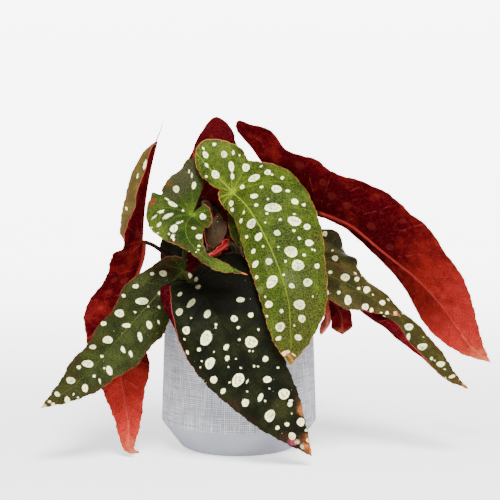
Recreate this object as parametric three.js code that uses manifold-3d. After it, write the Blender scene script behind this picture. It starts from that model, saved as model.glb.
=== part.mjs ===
// Potted polka dot begonia: a grey pot of soil with three canes and spotted wing-shaped leaves.
// Units are millimetres. +X is the plant's right, -Y its front and +Z up.
// The origin is the middle of the pot's flat foot, on the surface it stands on.

import * as THREE from "three";
import * as BufferGeometryUtils from "three/addons/utils/BufferGeometryUtils.js";
import Module from "manifold-3d";

const wasm = await Module();
wasm.setup();

// Driving sizes of the pot and its soil
const POT_WIDEST_RADIUS = 67.5;
const POT_RIM_RADIUS = 64.4;
const POT_FOOT_RADIUS = 48.5;
const POT_HEIGHT = 122;
const POT_SHOULDER_HEIGHT = 24;
const POT_WALL = 4.6;
const POT_FLOOR = 7;
const POT_FOOT_EDGE = 1.6;
const POT_SIDES = 56;
const SOIL_HEIGHT = 107;
const SOIL_RELIEF = 1.6;
const SOIL_SIDES = 40;
const SOIL_LUMPS = [0.21, 0.17, 0.11, 0.27];
const HOLE_BEYOND_SOIL = 12;
const SEAT_GAP = 0.3;
const ROD_START_SIDE = [1, 0.13, 0.21];

// Driving sizes of the canes and leaves
const CANE_FOOT_DEPTH = 26;
const CANE_SIDES = 8;
const CANE_RING_STEP = 11;
const NODE_SWELLING = 0.32;
const NODE_HALF_LENGTH = 3;
const BLADE_THICKNESS = 0.9;
const STALK_SIDES = 5;
const STALK_RADIUS = 1.8;
const STALK_STRAIGHT = 4;
const RIB_TIP_RADIUS = 0.5;
const RIB_REACH = 0.82;
const RIB_STEPS = 5;
const RIB_SINK = 0.7;
const VEIN_LEAN = 0.6;
const ROLL_SHARE = 0.3;
const FLAT_LOBE_END = -14;
const FULL_FOLD_START = 8;
const LOBE_CURL_LENGTH = 60;
const NARROW_WAVE_SHIFT = 0.37;
const TANGENT_REACH = 1 / 60;
const CURVE_SAMPLES = 40;
const LAST_ROW_SHARE = 0.25;
const BLADE_ROWS = 8;
const LOBE_ROWS = 5;
const BLADE_COLUMNS = 3;

// Places along the midrib, as shares of its length, where half widths are given
const WIDTH_STATIONS = [0, 0.15, 0.35, 0.55, 0.75, 0.9, 1];

// Colours of the sub-parts
const COLOURS = {
  pot: { color: 0xb4b6bf, roughness: 0.85 },
  soil: { color: 0x3a2a20, roughness: 1.0 },
  cane: { color: 0x5a6136, roughness: 0.6 },
  green: { color: 0x4f6a34, roughness: 0.45 },
  dark: { color: 0x2f3b26, roughness: 0.45 },
  red: { color: 0x8e1f22, roughness: 0.5 },
  withered: { color: 0x7a3126, roughness: 0.8 },
};

// Canes: route through hand-set points from the soil up, foot and top radius
// and the lengths, as shares of the route, at which the swollen nodes sit
const CANES = {
  "left_cane": {
    "route": [[-14, -4, 81], [-17, -5, 120], [-23, -7, 160], [-27, -8, 196], [-29, -10, 216]],
    "radii": [4.0, 2.6],
    "nodes": [0.3, 0.42, 0.54, 0.66, 0.78, 0.89, 0.98]
  },
  "middle_cane": {
    "route": [[4, 4, 81], [3, 5, 130], [-1, 5, 180], [-2, 2, 214], [-2, -4, 236]],
    "radii": [4.0, 2.6],
    "nodes": [0.3, 0.42, 0.54, 0.66, 0.78, 0.9]
  },
  "right_cane": {
    "route": [[20, 8, 81], [26, 8, 120], [33, 6, 160], [39, 3, 200]],
    "radii": [3.8, 2.6],
    "nodes": [0.3, 0.42, 0.56, 0.7, 0.82, 0.95]
  }
};

// Leaves: "stalk" names the cane, its node and the points that the stalk bends through. "rib" is the midrib
// from the stalk's end to the tip, "face" the way the upper face looks at its base, middle and tip.
// "wide" and "narrow" are half widths at the stations after the first, and the lobes are
// [degrees from the tip, radius] pairs behind the stalk's end. Fold, curl and roll are degrees that a half
// turns up at the midrib, evenly over its width and over its outer part, from base to tip.
// "roll_share" is that outer part's share of the half.
// "wave" is the margin's [height, number, phase], and "grid" the blade's rows, lobe rows and columns.
const LEAVES = {
  "front_leaf": {
    "colour": "dark",
    "stalk": { "cane": "left_cane", "node": 2, "via": [[-30, -28, 158]] },
    "rib": [[-38, -45, 148], [-27, -62, 138], [-14, -78, 120], [6, -86, 85], [30, -88, 47], [61, -86, 9]],
    "face": [[-0.1, -0.85, 0.5], [-0.1, -0.95, 0.3], [0, -0.9, 0.35]],
    "wide_side": "left",
    "wide": [44, 40, 31, 24, 11],
    "narrow": [54, 42, 32, 19, 8],
    "lobe_wide": [[90, 44], [110, 34], [130, 24], [145, 17], [156, 9]],
    "lobe_narrow": [[90, 45], [105, 37], [120, 24], [135, 9]],
    "fold_wide": [10, 5, 8],
    "fold_narrow": [20, 8, 8],
    "curl_wide": [0, -20, -10],
    "curl_narrow": [10, -20, -10],
    "wave": [3, 4, 0.2],
    "lobe_curl": 0,
    "roll_narrow": [240, 10, 0],
    "roll_share": 0.42
  },
  "left_leaf": {
    "colour": "dark",
    "stalk": { "cane": "left_cane", "node": 3, "via": [[-40, -20, 181], [-46, -28, 173]] },
    "rib": [[-46, -34, 158], [-68, -47, 139], [-92, -62, 113], [-115, -74, 88], [-138, -83, 66],
      [-163, -88, 50]],
    "face": [[-0.1, -0.75, 0.65], [-0.3, -0.75, 0.55], [-0.2, -0.85, 0.45]],
    "wide_side": "right",
    "wide": [27, 26, 23, 18, 8],
    "narrow": [16, 26, 24, 16, 7],
    "lobe_wide": [[90, 19], [120, 13], [150, 10]],
    "lobe_narrow": [[90, 12], [105, 8], [115, 5]],
    "fold_wide": [5, 0, 5],
    "fold_narrow": [-42, -25, -15],
    "curl_wide": [10, -10, 0],
    "curl_narrow": [-10, -20, -10],
    "wave": [3, 4, 0.6],
    "lobe_curl": 20,
    "roll_wide": [110, 0, 0]
  },
  "centre_leaf": {
    "colour": "green",
    "grid": [11, 12, 5],
    "stalk": { "cane": "middle_cane", "node": 5, "via": [[-4, -20, 226]] },
    "rib": [[-5, -38, 225], [8, -54, 213], [22, -70, 191], [34, -82, 164], [41, -90, 140],
      [43, -94, 114], [43, -94, 87]],
    "face": [[-0.1, -0.9, 0.4], [0.1, -0.95, 0.3], [0.1, -0.95, 0.25]],
    "wide_side": "left",
    "wide": [51, 49, 39, 29, 14],
    "narrow": [16, 23, 24, 21, 13],
    "lobe_wide": [[90, 44], [107, 37], [121, 35], [137, 47], [150, 53], [168, 59], [182, 52], [198, 33],
      [206, 19], [213, 9]],
    "lobe_narrow": [[90, 14], [125, 13], [141, 13]],
    "fold_wide": [0, 5, 10],
    "fold_narrow": [-20, -24, 0],
    "curl_wide": [-20, -25, -10],
    "curl_narrow": [-10, -20, -10],
    "wave": [2, 4, 0.1],
    "lobe_curl": 25
  },
  "left_centre_leaf": {
    "colour": "green",
    "grid": [10, 11, 5],
    "stalk": { "cane": "left_cane", "node": 5, "via": [[-34, -26, 208]] },
    "rib": [[-39, -40, 206], [-44, -51, 198], [-42, -62, 188], [-34, -70, 179], [-22, -76, 170],
      [8, -82, 160]],
    "face": [[0.18, -0.75, 0.65], [-0.15, -0.8, 0.5], [0.1, -0.8, 0.6]],
    "wide_side": "right",
    "wide": [35, 10, 4.5, 5.5, 2],
    "narrow": [17, 13, 4.5, 4, 1],
    "lobe_wide": [[90, 39], [98, 32], [112, 37], [124, 43], [143, 49], [153, 61], [161, 60], [172, 32]],
    "lobe_narrow": [[90, 18], [130, 17], [150, 18], [168, 17]],
    "fold_wide": [10, 5, 0],
    "fold_narrow": [10, 5, 0],
    "curl_wide": [-10, -30, -10],
    "curl_narrow": [-10, -20, -10],
    "wave": [2, 3, 0.1],
    "lobe_curl": 20
  },
  "left_red_leaf": {
    "colour": "red",
    "grid": [11, 11, 4],
    "stalk": { "cane": "left_cane", "node": 1, "via": [[-46, -8, 154], [-70, -7, 174]] },
    "rib": [[-83, -8, 180], [-84, -10, 166], [-90, -14, 148], [-99, -21, 126], [-105, -30, 100],
      [-100, -38, 66], [-94, -45, 36], [-93, -51, 9], [-84, -56, 5]],
    "face": [[-0.9, -0.43, 0.1], [-0.55, 0.8, 0.1], [-0.2, 0.95, 0.1]],
    "wide_side": "left",
    "wide": [29, 29, 23, 15, 8],
    "narrow": [20, 28, 31, 16, 8],
    "lobe_wide": [[90, 39], [105, 34], [129, 30], [150, 33], [158, 48], [168, 61], [170, 70], [173, 81],
      [178, 87]],
    "lobe_narrow": [[90, 17], [120, 29], [136, 36], [149, 41], [158, 52], [166, 70], [171, 80],
      [177, 88]],
    "fold_wide": [60, 28, 15],
    "fold_narrow": [46, 5, 15],
    "curl_wide": [-10, 0, 0],
    "curl_narrow": [-10, 0, 0],
    "wave": [3, 4, 0.1],
    "lobe_curl": -11,
    "lobe_fold": 0.9
  },
  "right_red_leaf": {
    "colour": "red",
    "grid": [9, 11, 4],
    "stalk": { "cane": "right_cane", "node": 5, "via": [[52, 1, 207]] },
    "rib": [[69, -5, 206], [94, -10, 196], [109, -14, 185], [122, -18, 174], [151, -26, 151], [171, -30, 130],
      [188, -32, 106], [200, -32, 91], [216, -30, 78]],
    "face": [[0.1, 0.75, 0.6], [0.25, 0.75, 0.6], [0.3, 0.8, 0.5]],
    "wide_side": "right",
    "wide": [50, 56, 43, 26, 12],
    "narrow": [12, 18, 33, 30, 13],
    "lobe_wide": [[90, 49], [115, 59], [128, 68], [134, 91], [139, 102], [144, 108], [148, 101], [152, 76],
      [158, 42], [170, 20]],
    "lobe_narrow": [[90, 8], [120, 5]],
    "fold_wide": [0, 0, 0],
    "fold_narrow": [20, 20, 0],
    "curl_wide": [0, 0, 0],
    "curl_narrow": [0, 0, 0],
    "wave": [2.5, 4, 0.1],
    "lobe_curl": 0
  },
  "right_leaf": {
    "colour": "dark",
    "stalk": { "cane": "right_cane", "node": 3, "via": [[50, -5, 172]] },
    "rib": [[68, -15, 163], [87, -22, 150], [109, -32, 132], [133, -42, 112], [158, -50, 90], [178, -56, 71],
      [193, -60, 61]],
    "face": [[0.2, -0.6, 0.75], [0.3, -0.7, 0.65], [0.3, -0.8, 0.5]],
    "wide_side": "left",
    "wide": [24, 22, 19, 14, 6],
    "narrow": [26, 33, 27, 14, 6],
    "lobe_wide": [[90, 44], [110, 46], [130, 40], [150, 22]],
    "lobe_narrow": [[90, 12], [120, 10], [135, 8]],
    "fold_wide": [0, 0, 0],
    "fold_narrow": [0, 10, 0],
    "curl_wide": [-10, -20, 0],
    "curl_narrow": [0, 10, 0],
    "wave": [2, 4, 0.1],
    "lobe_curl": 0,
    "roll_narrow": [200, 170, 0],
    "roll_share": 0.55
  },
  "right_small_leaf": {
    "colour": "green",
    "stalk": { "cane": "right_cane", "node": 2, "via": [[42, -8, 158]] },
    "rib": [[57, -34, 162], [73, -43, 156], [94, -52, 147], [117, -58, 134], [136, -60, 122]],
    "face": [[0.1, -0.5, 0.85], [0.2, -0.6, 0.8], [0.3, -0.7, 0.65]],
    "wide_side": "left",
    "wide": [20, 20, 17, 11, 5],
    "narrow": [22, 25, 22, 14, 5],
    "lobe_wide": [[90, 20], [120, 18], [150, 16], [165, 14]],
    "lobe_narrow": [[90, 16], [120, 14], [135, 12]],
    "fold_wide": [0, 0, 0],
    "fold_narrow": [0, 0, 0],
    "curl_wide": [-10, -20, 0],
    "curl_narrow": [-10, -20, 0],
    "wave": [1.5, 3, 0.1],
    "lobe_curl": 0
  },
  "right_low_red_leaf": {
    "colour": "red",
    "grid": [5, 3, 2],
    "stalk": { "cane": "right_cane", "node": 1, "via": [[44, 8, 142], [58, 5, 148]] },
    "rib": [[69, 0, 141], [79, -4, 130], [88, -8, 117], [90, -10, 99]],
    "face": [[0.5, 0.5, 0.6], [0.4, 0.9, 0.2], [0.1, 0.95, 0.1]],
    "wide_side": "left",
    "wide": [12, 12, 11, 10, 9],
    "narrow": [10, 10, 9, 9, 8],
    "lobe_wide": [[90, 12], [120, 10], [150, 9]],
    "lobe_narrow": [[90, 9], [120, 8]],
    "fold_wide": [0, 10, 10],
    "fold_narrow": [0, 10, 10],
    "curl_wide": [0, 0, 0],
    "curl_narrow": [0, 0, 0],
    "wave": [1.5, 3, 0.1],
    "lobe_curl": 0
  },
  "withered_leaf": {
    "colour": "withered",
    "grid": [5, 2, 2],
    "stalk": { "cane": "right_cane", "node": 0, "via": [[42, -3, 132], [56, -9, 141]] },
    "rib": [[66, -12, 138], [73, -15, 126], [76, -15, 112], [71, -14, 99]],
    "face": [[0.6, 0.2, 0.6], [0.4, 0.9, 0.2], [-0.3, 0.95, 0.1]],
    "wide_side": "left",
    "wide": [5, 6, 5, 6, 4],
    "narrow": [4, 5, 4, 5, 3],
    "lobe_wide": [[90, 5], [130, 4]],
    "lobe_narrow": [[90, 4], [120, 3]],
    "fold_wide": [20, 40, 30],
    "fold_narrow": [20, 40, 30],
    "curl_wide": [30, 30, 30],
    "curl_narrow": [30, 30, 30],
    "wave": [1, 3, 0.1],
    "lobe_curl": 0
  },
  "back_top_leaf": {
    "colour": "red",
    "grid": [8, 9, 3],
    "stalk": { "cane": "middle_cane", "node": 3, "via": [[-18, 12, 205]] },
    "rib": [[-37, 12, 214], [-36, 18, 196], [-34, 40, 174], [-34, 70, 142], [-33, 90, 92], [-30, 96, 46]],
    "face": [[-0.2, 0.9, 0.3], [-0.1, 0.85, 0.5], [0, 0.95, 0.2]],
    "wide_side": "right",
    "wide": [43, 43, 36, 26, 12],
    "narrow": [20, 28, 26, 20, 9],
    "lobe_wide": [[90, 33], [120, 45], [144, 63], [154, 73], [164, 77], [171, 66], [180, 47], [190, 36]],
    "lobe_narrow": [[90, 18], [115, 17], [135, 14]],
    "fold_wide": [0, 0, 10],
    "fold_narrow": [0, 0, 10],
    "curl_wide": [-10, -20, 0],
    "curl_narrow": [-10, -20, 0],
    "wave": [2.5, 4, 0.1],
    "lobe_curl": 0
  },
  "left_inner_leaf": {
    "colour": "dark",
    "grid": [6, 4, 3],
    "stalk": { "cane": "left_cane", "node": 4, "via": [[-44, 2, 203]] },
    "rib": [[-54, 5, 196], [-57, 10, 178], [-61, 15, 152], [-65, 18, 128]],
    "face": [[-0.4, -0.6, 0.7], [-0.3, -0.9, 0.3], [-0.2, -0.95, 0.1]],
    "wide_side": "left",
    "wide": [15, 15, 13, 9, 5],
    "narrow": [12, 12, 10, 7, 4],
    "lobe_wide": [[90, 15], [120, 14], [150, 14]],
    "lobe_narrow": [[90, 10], [125, 8]],
    "fold_wide": [5, 5, 5],
    "fold_narrow": [5, 5, 5],
    "curl_wide": [0, 0, 0],
    "curl_narrow": [0, 0, 0],
    "wave": [1.5, 3, 0.1],
    "lobe_curl": 0
  },
  "young_leaf": {
    "colour": "red",
    "grid": [6, 3, 2],
    "stalk": { "cane": "left_cane", "node": 6, "via": [] },
    "rib": [[-22, -23, 200], [-22, -28, 194], [-22, -32, 186], [-21, -33, 177]],
    "face": [[-0.1, -0.7, 0.7], [0, -0.9, 0.4], [0, -0.9, 0.3]],
    "wide_side": "left",
    "wide": [12, 12, 11, 9, 5],
    "narrow": [10, 12, 11, 9, 5],
    "lobe_wide": [[90, 8], [120, 8], [150, 7]],
    "lobe_narrow": [[90, 6], [120, 5]],
    "fold_wide": [10, 10, 10],
    "fold_narrow": [10, 20, 10],
    "curl_wide": [0, 0, 0],
    "curl_narrow": [10, 20, 10],
    "wave": [0.5, 3, 0.1],
    "lobe_curl": 0,
    "roll_narrow": [60, 120, 60]
  },
  "middle_young_leaf": {
    "colour": "green",
    "grid": [6, 3, 2],
    "stalk": { "cane": "middle_cane", "node": 4, "via": [] },
    "rib": [[-4, -17, 206], [-2, -25, 198], [0, -30, 187], [2, -32, 176]],
    "face": [[-0.1, -0.7, 0.7], [0, -0.9, 0.4], [0, -0.9, 0.3]],
    "wide_side": "left",
    "wide": [9, 9, 8, 6, 3],
    "narrow": [7, 8, 8, 6, 3],
    "lobe_wide": [[90, 7], [120, 6], [150, 6]],
    "lobe_narrow": [[90, 5], [120, 4]],
    "fold_wide": [25, 20, 10],
    "fold_narrow": [25, 20, 10],
    "curl_wide": [20, 20, 10],
    "curl_narrow": [20, 20, 10],
    "wave": [0.5, 3, 0.1],
    "lobe_curl": 0
  },
  "inner_red_leaf": {
    "colour": "red",
    "grid": [6, 3, 2],
    "stalk": { "cane": "middle_cane", "node": 2, "via": [[-6, -14, 178]] },
    "rib": [[-9, -32, 181], [-14, -36, 177], [-20, -39, 173], [-27, -40, 171]],
    "face": [[0, 0.9, 0.4], [0, 0.9, 0.4], [0, 0.95, 0.3]],
    "wide_side": "left",
    "wide": [3.5, 3.5, 3, 2.5, 1.5],
    "narrow": [3, 3, 2.5, 2.5, 1.5],
    "lobe_wide": [[90, 5], [120, 4], [150, 4]],
    "lobe_narrow": [[90, 4], [125, 3]],
    "fold_wide": [5, 5, 5],
    "fold_narrow": [5, 5, 5],
    "curl_wide": [0, 0, 0],
    "curl_narrow": [0, 0, 0],
    "wave": [1, 3, 0.1],
    "lobe_curl": 0
  },
  "back_right_leaf": {
    "colour": "green",
    "stalk": { "cane": "right_cane", "node": 4, "via": [[34, 18, 198]] },
    "rib": [[28, 30, 214], [32, 50, 207], [38, 76, 180], [42, 94, 135], [40, 100, 90], [36, 99, 58]],
    "face": [[0.1, 0.3, 0.95], [0.1, 0.85, 0.5], [0.1, 0.95, 0.2]],
    "wide_side": "right",
    "wide": [34, 36, 30, 22, 9],
    "narrow": [28, 30, 26, 18, 8],
    "lobe_wide": [[90, 32], [120, 30], [150, 30], [170, 26]],
    "lobe_narrow": [[90, 24], [115, 22], [135, 16]],
    "fold_wide": [8, 5, 8],
    "fold_narrow": [8, 5, 8],
    "curl_wide": [-20, -30, 0],
    "curl_narrow": [-20, -30, 0],
    "wave": [2.5, 4, 0.4],
    "lobe_curl": 0
  },
  "back_low_leaf": {
    "colour": "dark",
    "stalk": { "cane": "middle_cane", "node": 1, "via": [[6, 16, 155]] },
    "rib": [[10, 28, 160], [16, 48, 156], [22, 68, 134], [24, 75, 104], [22, 75, 72], [18, 73, 50]],
    "face": [[0, 0.2, 0.98], [0, 0.8, 0.6], [0, 0.95, 0.2]],
    "wide_side": "left",
    "wide": [22, 24, 20, 14, 6],
    "narrow": [18, 20, 17, 12, 5],
    "lobe_wide": [[90, 20], [120, 20], [150, 20], [170, 18]],
    "lobe_narrow": [[90, 16], [115, 14], [135, 12]],
    "fold_wide": [8, 5, 8],
    "fold_narrow": [8, 5, 8],
    "curl_wide": [-20, -30, 0],
    "curl_narrow": [-20, -30, 0],
    "wave": [2, 4, 0.4],
    "lobe_curl": 0
  }
};

// Value of a smooth curve through a list of numbers or points, at position t counted in list places
function smoothAt(list, t) {
  const last = list.length - 1;
  const place = Math.min(Math.max(t, 0), last);
  const i = Math.min(Math.floor(place), last - 1);
  const f = place - i;
  const asArray = (v) => (Array.isArray(v) ? v : [v]);
  const p1 = asArray(list[i]);
  const p2 = asArray(list[i + 1]);
  const p0 = i > 0 ? asArray(list[i - 1]) : p1.map((v, k) => 2 * v - p2[k]);
  const p3 = i < last - 1 ? asArray(list[i + 2]) : p2.map((v, k) => 2 * v - p1[k]);
  const value = p1.map((v, k) => {
    const linear = p2[k] - p0[k];
    const square = 2 * p0[k] - 5 * v + 4 * p2[k] - p3[k];
    const cube = 3 * v - p0[k] - 3 * p2[k] + p3[k];
    return 0.5 * (2 * v + linear * f + square * f * f + cube * f * f * f);
  });
  return Array.isArray(list[0]) ? value : value[0];
}

function vectorAt(list, t) {
  return new THREE.Vector3(...smoothAt(list, t));
}

// Place in a rising list of stations, counted in list places
function placeIn(stations, value) {
  let i = 0;
  while (i < stations.length - 2 && value > stations[i + 1]) {
    i += 1;
  }
  const share = (value - stations[i]) / (stations[i + 1] - stations[i]);
  return i + Math.min(Math.max(share, 0), 1);
}

// A curved leaf surface, with s along the midrib and w across it, positive on the wide half
class LeafSurface {
  constructor(spec) {
    this.spec = spec;
    this.samples = [];
    this.lengths = [0];
    const steps = CURVE_SAMPLES * (spec.rib.length - 1);
    for (let i = 0; i <= steps; i += 1) {
      this.samples.push(vectorAt(spec.rib, (i / steps) * (spec.rib.length - 1)));
      if (i > 0) {
        this.lengths.push(this.lengths[i - 1] + this.samples[i].distanceTo(this.samples[i - 1]));
      }
    }
    this.length = this.lengths[steps];
    this.wideSign = spec.wide_side === "right" ? 1 : -1;
    this.reference = Math.max(...spec.wide);
  }

  ribPoint(s) {
    const place = placeIn(this.lengths, Math.min(Math.max(s, 0), this.length));
    const i = Math.min(Math.floor(place), this.samples.length - 2);
    return this.samples[i].clone().lerp(this.samples[i + 1], place - i);
  }

  station(key, s) {
    const values = this.spec[key] ?? [0, 0, 0];
    const share = Math.min(Math.max(s / this.length, 0), 1);
    return smoothAt(values, share * (values.length - 1));
  }

  // Point on the midrib or behind the stalk's end, with its upper-face direction and side direction
  frameAt(s) {
    const onRib = Math.min(Math.max(s, 0), this.length);
    const reach = this.length * TANGENT_REACH;
    const ahead = this.ribPoint(Math.min(onRib + reach, this.length));
    const tangent = ahead.sub(this.ribPoint(Math.max(onRib - reach, 0))).normalize();
    const face = new THREE.Vector3(...this.station("face", onRib));
    face.addScaledVector(tangent, -face.dot(tangent)).normalize();
    const side = new THREE.Vector3().crossVectors(tangent, face);
    const centre = this.ribPoint(onRib);
    const back = Math.max(-s, 0);
    const bend = THREE.MathUtils.degToRad(this.spec.lobe_curl) / LOBE_CURL_LENGTH;
    const turned = bend * back;
    const run = bend === 0 ? back : Math.sin(turned) / bend;
    const rise = bend === 0 ? 0 : (1 - Math.cos(turned)) / bend;
    centre.addScaledVector(tangent, -run).addScaledVector(face, rise);
    const up = face.clone().multiplyScalar(Math.cos(turned)).addScaledVector(tangent, Math.sin(turned));
    return { centre, up, side };
  }

  // Surface point. "share" is how far out it lies between midrib and margin: a roll turns the outer part over
  point(s, w, share) {
    const { centre, up, side } = this.frameAt(s);
    const half = w >= 0 ? "wide" : "narrow";
    const span = Math.abs(w);
    const ease = THREE.MathUtils.smoothstep(s, FLAT_LOBE_END, FULL_FOLD_START);
    const kept = this.spec.lobe_fold ?? 0;
    const fold = THREE.MathUtils.degToRad(this.station(`fold_${half}`, s)) * (kept + (1 - kept) * ease);
    const curl = THREE.MathUtils.degToRad(this.station(`curl_${half}`, s)) / this.reference || 1e-6;
    const rolled = this.spec.roll_share ?? ROLL_SHARE;
    const even = share > 1 - rolled ? (span * (1 - rolled)) / share : span;
    const turnedAtRoll = fold + curl * even;
    let out = (Math.sin(turnedAtRoll) - Math.sin(fold)) / curl;
    let lift = -(Math.cos(turnedAtRoll) - Math.cos(fold)) / curl;
    if (span > even) {
      const full = (even * rolled) / (1 - rolled);
      const roll = curl + THREE.MathUtils.degToRad(this.station(`roll_${half}`, s)) / full;
      const turned = turnedAtRoll + roll * (span - even);
      out += (Math.sin(turned) - Math.sin(turnedAtRoll)) / roll;
      lift -= (Math.cos(turned) - Math.cos(turnedAtRoll)) / roll;
    }
    const [height, count, phase] = this.spec.wave;
    const along = (s - VEIN_LEAN * span) / this.length;
    const shift = w >= 0 ? phase : phase + NARROW_WAVE_SHIFT;
    lift += height * (span / this.reference) ** 2 * Math.sin(2 * Math.PI * (count * along + shift));
    const sign = w >= 0 ? this.wideSign : -this.wideSign;
    return centre.addScaledVector(side, sign * out).addScaledVector(up, lift);
  }

  halfWidth(s, half) {
    const widths = [this.spec[`lobe_${half}`][0][1], ...this.spec[half], 0];
    return Math.max(smoothAt(widths, placeIn(WIDTH_STATIONS, s / this.length)), 0);
  }

  // Rows from the tip to the stalk's end and round the lobe: foot on the midrib and end on the margin
  rows(half, bladeRows, lobeRows) {
    const rows = [];
    for (let i = 1; i <= bladeRows; i += 1) {
      const foot = this.length * (1 - i / bladeRows);
      const nearTip = this.length * (1 - (LAST_ROW_SHARE * i) / bladeRows ** 2);
      const s = Math.min(foot + VEIN_LEAN * this.halfWidth(foot, half), nearTip);
      rows.push({ foot, s, w: this.halfWidth(s, half) });
    }
    const first = rows[rows.length - 1];
    const startAngle = THREE.MathUtils.radToDeg(Math.atan2(first.w, first.s));
    const lobe = this.spec[`lobe_${half}`];
    const angles = [startAngle, ...lobe.map((pair) => pair[0])];
    const radii = [Math.hypot(first.s, first.w), ...lobe.map((pair) => pair[1])];
    const endAngle = angles[angles.length - 1];
    for (let i = 1; i <= lobeRows; i += 1) {
      const angle = startAngle + ((endAngle - startAngle) * i) / lobeRows;
      const radius = smoothAt(radii, placeIn(angles, angle));
      const turn = THREE.MathUtils.degToRad(angle);
      rows.push({ foot: 0, s: radius * Math.cos(turn), w: radius * Math.sin(turn) });
    }
    return rows;
  }
}

// Closed blade of even thickness: the same triangles on the upper and lower face, joined round the margin
function bladeGeometry(surface, bladeRows, lobeRows, columns) {
  const points = [];
  const triangles = [];
  const addPoint = (s, w, share) => points.push(surface.point(s, w, share)) - 1;
  const tip = addPoint(surface.length, 0, 0);
  const rib = [tip];
  for (let i = 1; i <= bladeRows; i += 1) {
    rib.push(addPoint(surface.length * (1 - i / bladeRows), 0, 0));
  }
  for (const half of ["wide", "narrow"]) {
    const sign = half === "wide" ? 1 : -1;
    let previous = new Array(columns + 1).fill(tip);
    surface.rows(half, bladeRows, lobeRows).forEach((row, i) => {
      const line = [rib[Math.min(i + 1, bladeRows)]];
      for (let j = 1; j <= columns; j += 1) {
        const share = j / columns;
        line.push(addPoint(row.foot + (row.s - row.foot) * share, sign * row.w * share, share));
      }
      for (let j = 0; j < columns; j += 1) {
        for (const t of [
          [previous[j], previous[j + 1], line[j + 1]],
          [previous[j], line[j + 1], line[j]],
        ]) {
          if (new Set(t).size === 3) {
            triangles.push(sign * surface.wideSign > 0 ? [t[2], t[1], t[0]] : t);
          }
        }
      }
      previous = line;
    });
  }
  return thickened(points, triangles, BLADE_THICKNESS);
}

// Solid of a thin sheet of triangles, half its thickness to each side
function thickened(points, triangles, thickness) {
  const normals = points.map(() => new THREE.Vector3());
  const borders = new Map();
  for (const [a, b, c] of triangles) {
    const ab = points[b].clone().sub(points[a]);
    const ac = points[c].clone().sub(points[a]);
    const normal = ab.cross(ac);
    for (const k of [a, b, c]) {
      normals[k].add(normal);
    }
    for (const [from, to] of [[a, b], [b, c], [c, a]]) {
      if (!borders.delete(`${to},${from}`)) {
        borders.set(`${from},${to}`, [from, to]);
      }
    }
  }
  const count = points.length;
  const positions = [];
  for (const side of [0.5, -0.5]) {
    points.forEach((p, k) => {
      const moved = p.clone().addScaledVector(normals[k].clone().normalize(), side * thickness);
      positions.push(moved.x, moved.y, moved.z);
    });
  }
  const index = [];
  for (const [a, b, c] of triangles) {
    index.push(a, b, c, c + count, b + count, a + count);
  }
  for (const [from, to] of borders.values()) {
    index.push(from, from + count, to, to, from + count, to + count);
  }
  return indexedGeometry(positions, index);
}

function indexedGeometry(positions, index) {
  const geometry = new THREE.BufferGeometry();
  geometry.setAttribute("position", new THREE.Float32BufferAttribute(positions, 3));
  geometry.setIndex(index);
  return geometry;
}

// Closed rod through centres, with a radius for each and flat ends
function rodGeometry(centres, radii, sides) {
  const positions = [];
  const index = [];
  const last = centres.length - 1;
  const direction = (i) => {
    const before = centres[Math.max(i - 1, 0)];
    const after = centres[Math.min(i + 1, last)];
    return after.clone().sub(before).normalize();
  };
  const across = new THREE.Vector3(...ROD_START_SIDE);
  centres.forEach((centre, i) => {
    const along = direction(i);
    across.addScaledVector(along, -across.dot(along)).normalize();
    const other = new THREE.Vector3().crossVectors(along, across);
    for (let k = 0; k < sides; k += 1) {
      const turn = (2 * Math.PI * k) / sides;
      const p = centre.clone();
      p.addScaledVector(across, radii[i] * Math.cos(turn));
      p.addScaledVector(other, radii[i] * Math.sin(turn));
      positions.push(p.x, p.y, p.z);
    }
  });
  for (let i = 0; i < last; i += 1) {
    for (let k = 0; k < sides; k += 1) {
      const a = i * sides + k;
      const b = i * sides + ((k + 1) % sides);
      index.push(a, b, b + sides, a, b + sides, a + sides);
    }
  }
  for (let k = 1; k < sides - 1; k += 1) {
    index.push(0, k + 1, k);
    index.push(last * sides, last * sides + k, last * sides + k + 1);
  }
  return indexedGeometry(positions, index);
}

// Solids for the boolean cuts and joins, and back
function solidOf(geometry) {
  const bare = geometry.clone();
  bare.deleteAttribute("normal");
  bare.deleteAttribute("uv");
  const merged = BufferGeometryUtils.mergeVertices(bare, 1e-4);
  const mesh = new wasm.Mesh({
    numProp: 3,
    vertProperties: new Float32Array(merged.attributes.position.array),
    triVerts: new Uint32Array(merged.index.array),
  });
  return new wasm.Manifold(mesh);
}

// Mesh of a solid's largest body, which leaves out any sliver that a join cuts loose
function geometryOf(solid) {
  const bodies = solid.decompose().sort((a, b) => b.volume() - a.volume());
  const mesh = bodies[0].getMesh();
  return indexedGeometry(Array.from(mesh.vertProperties), Array.from(mesh.triVerts));
}

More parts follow.
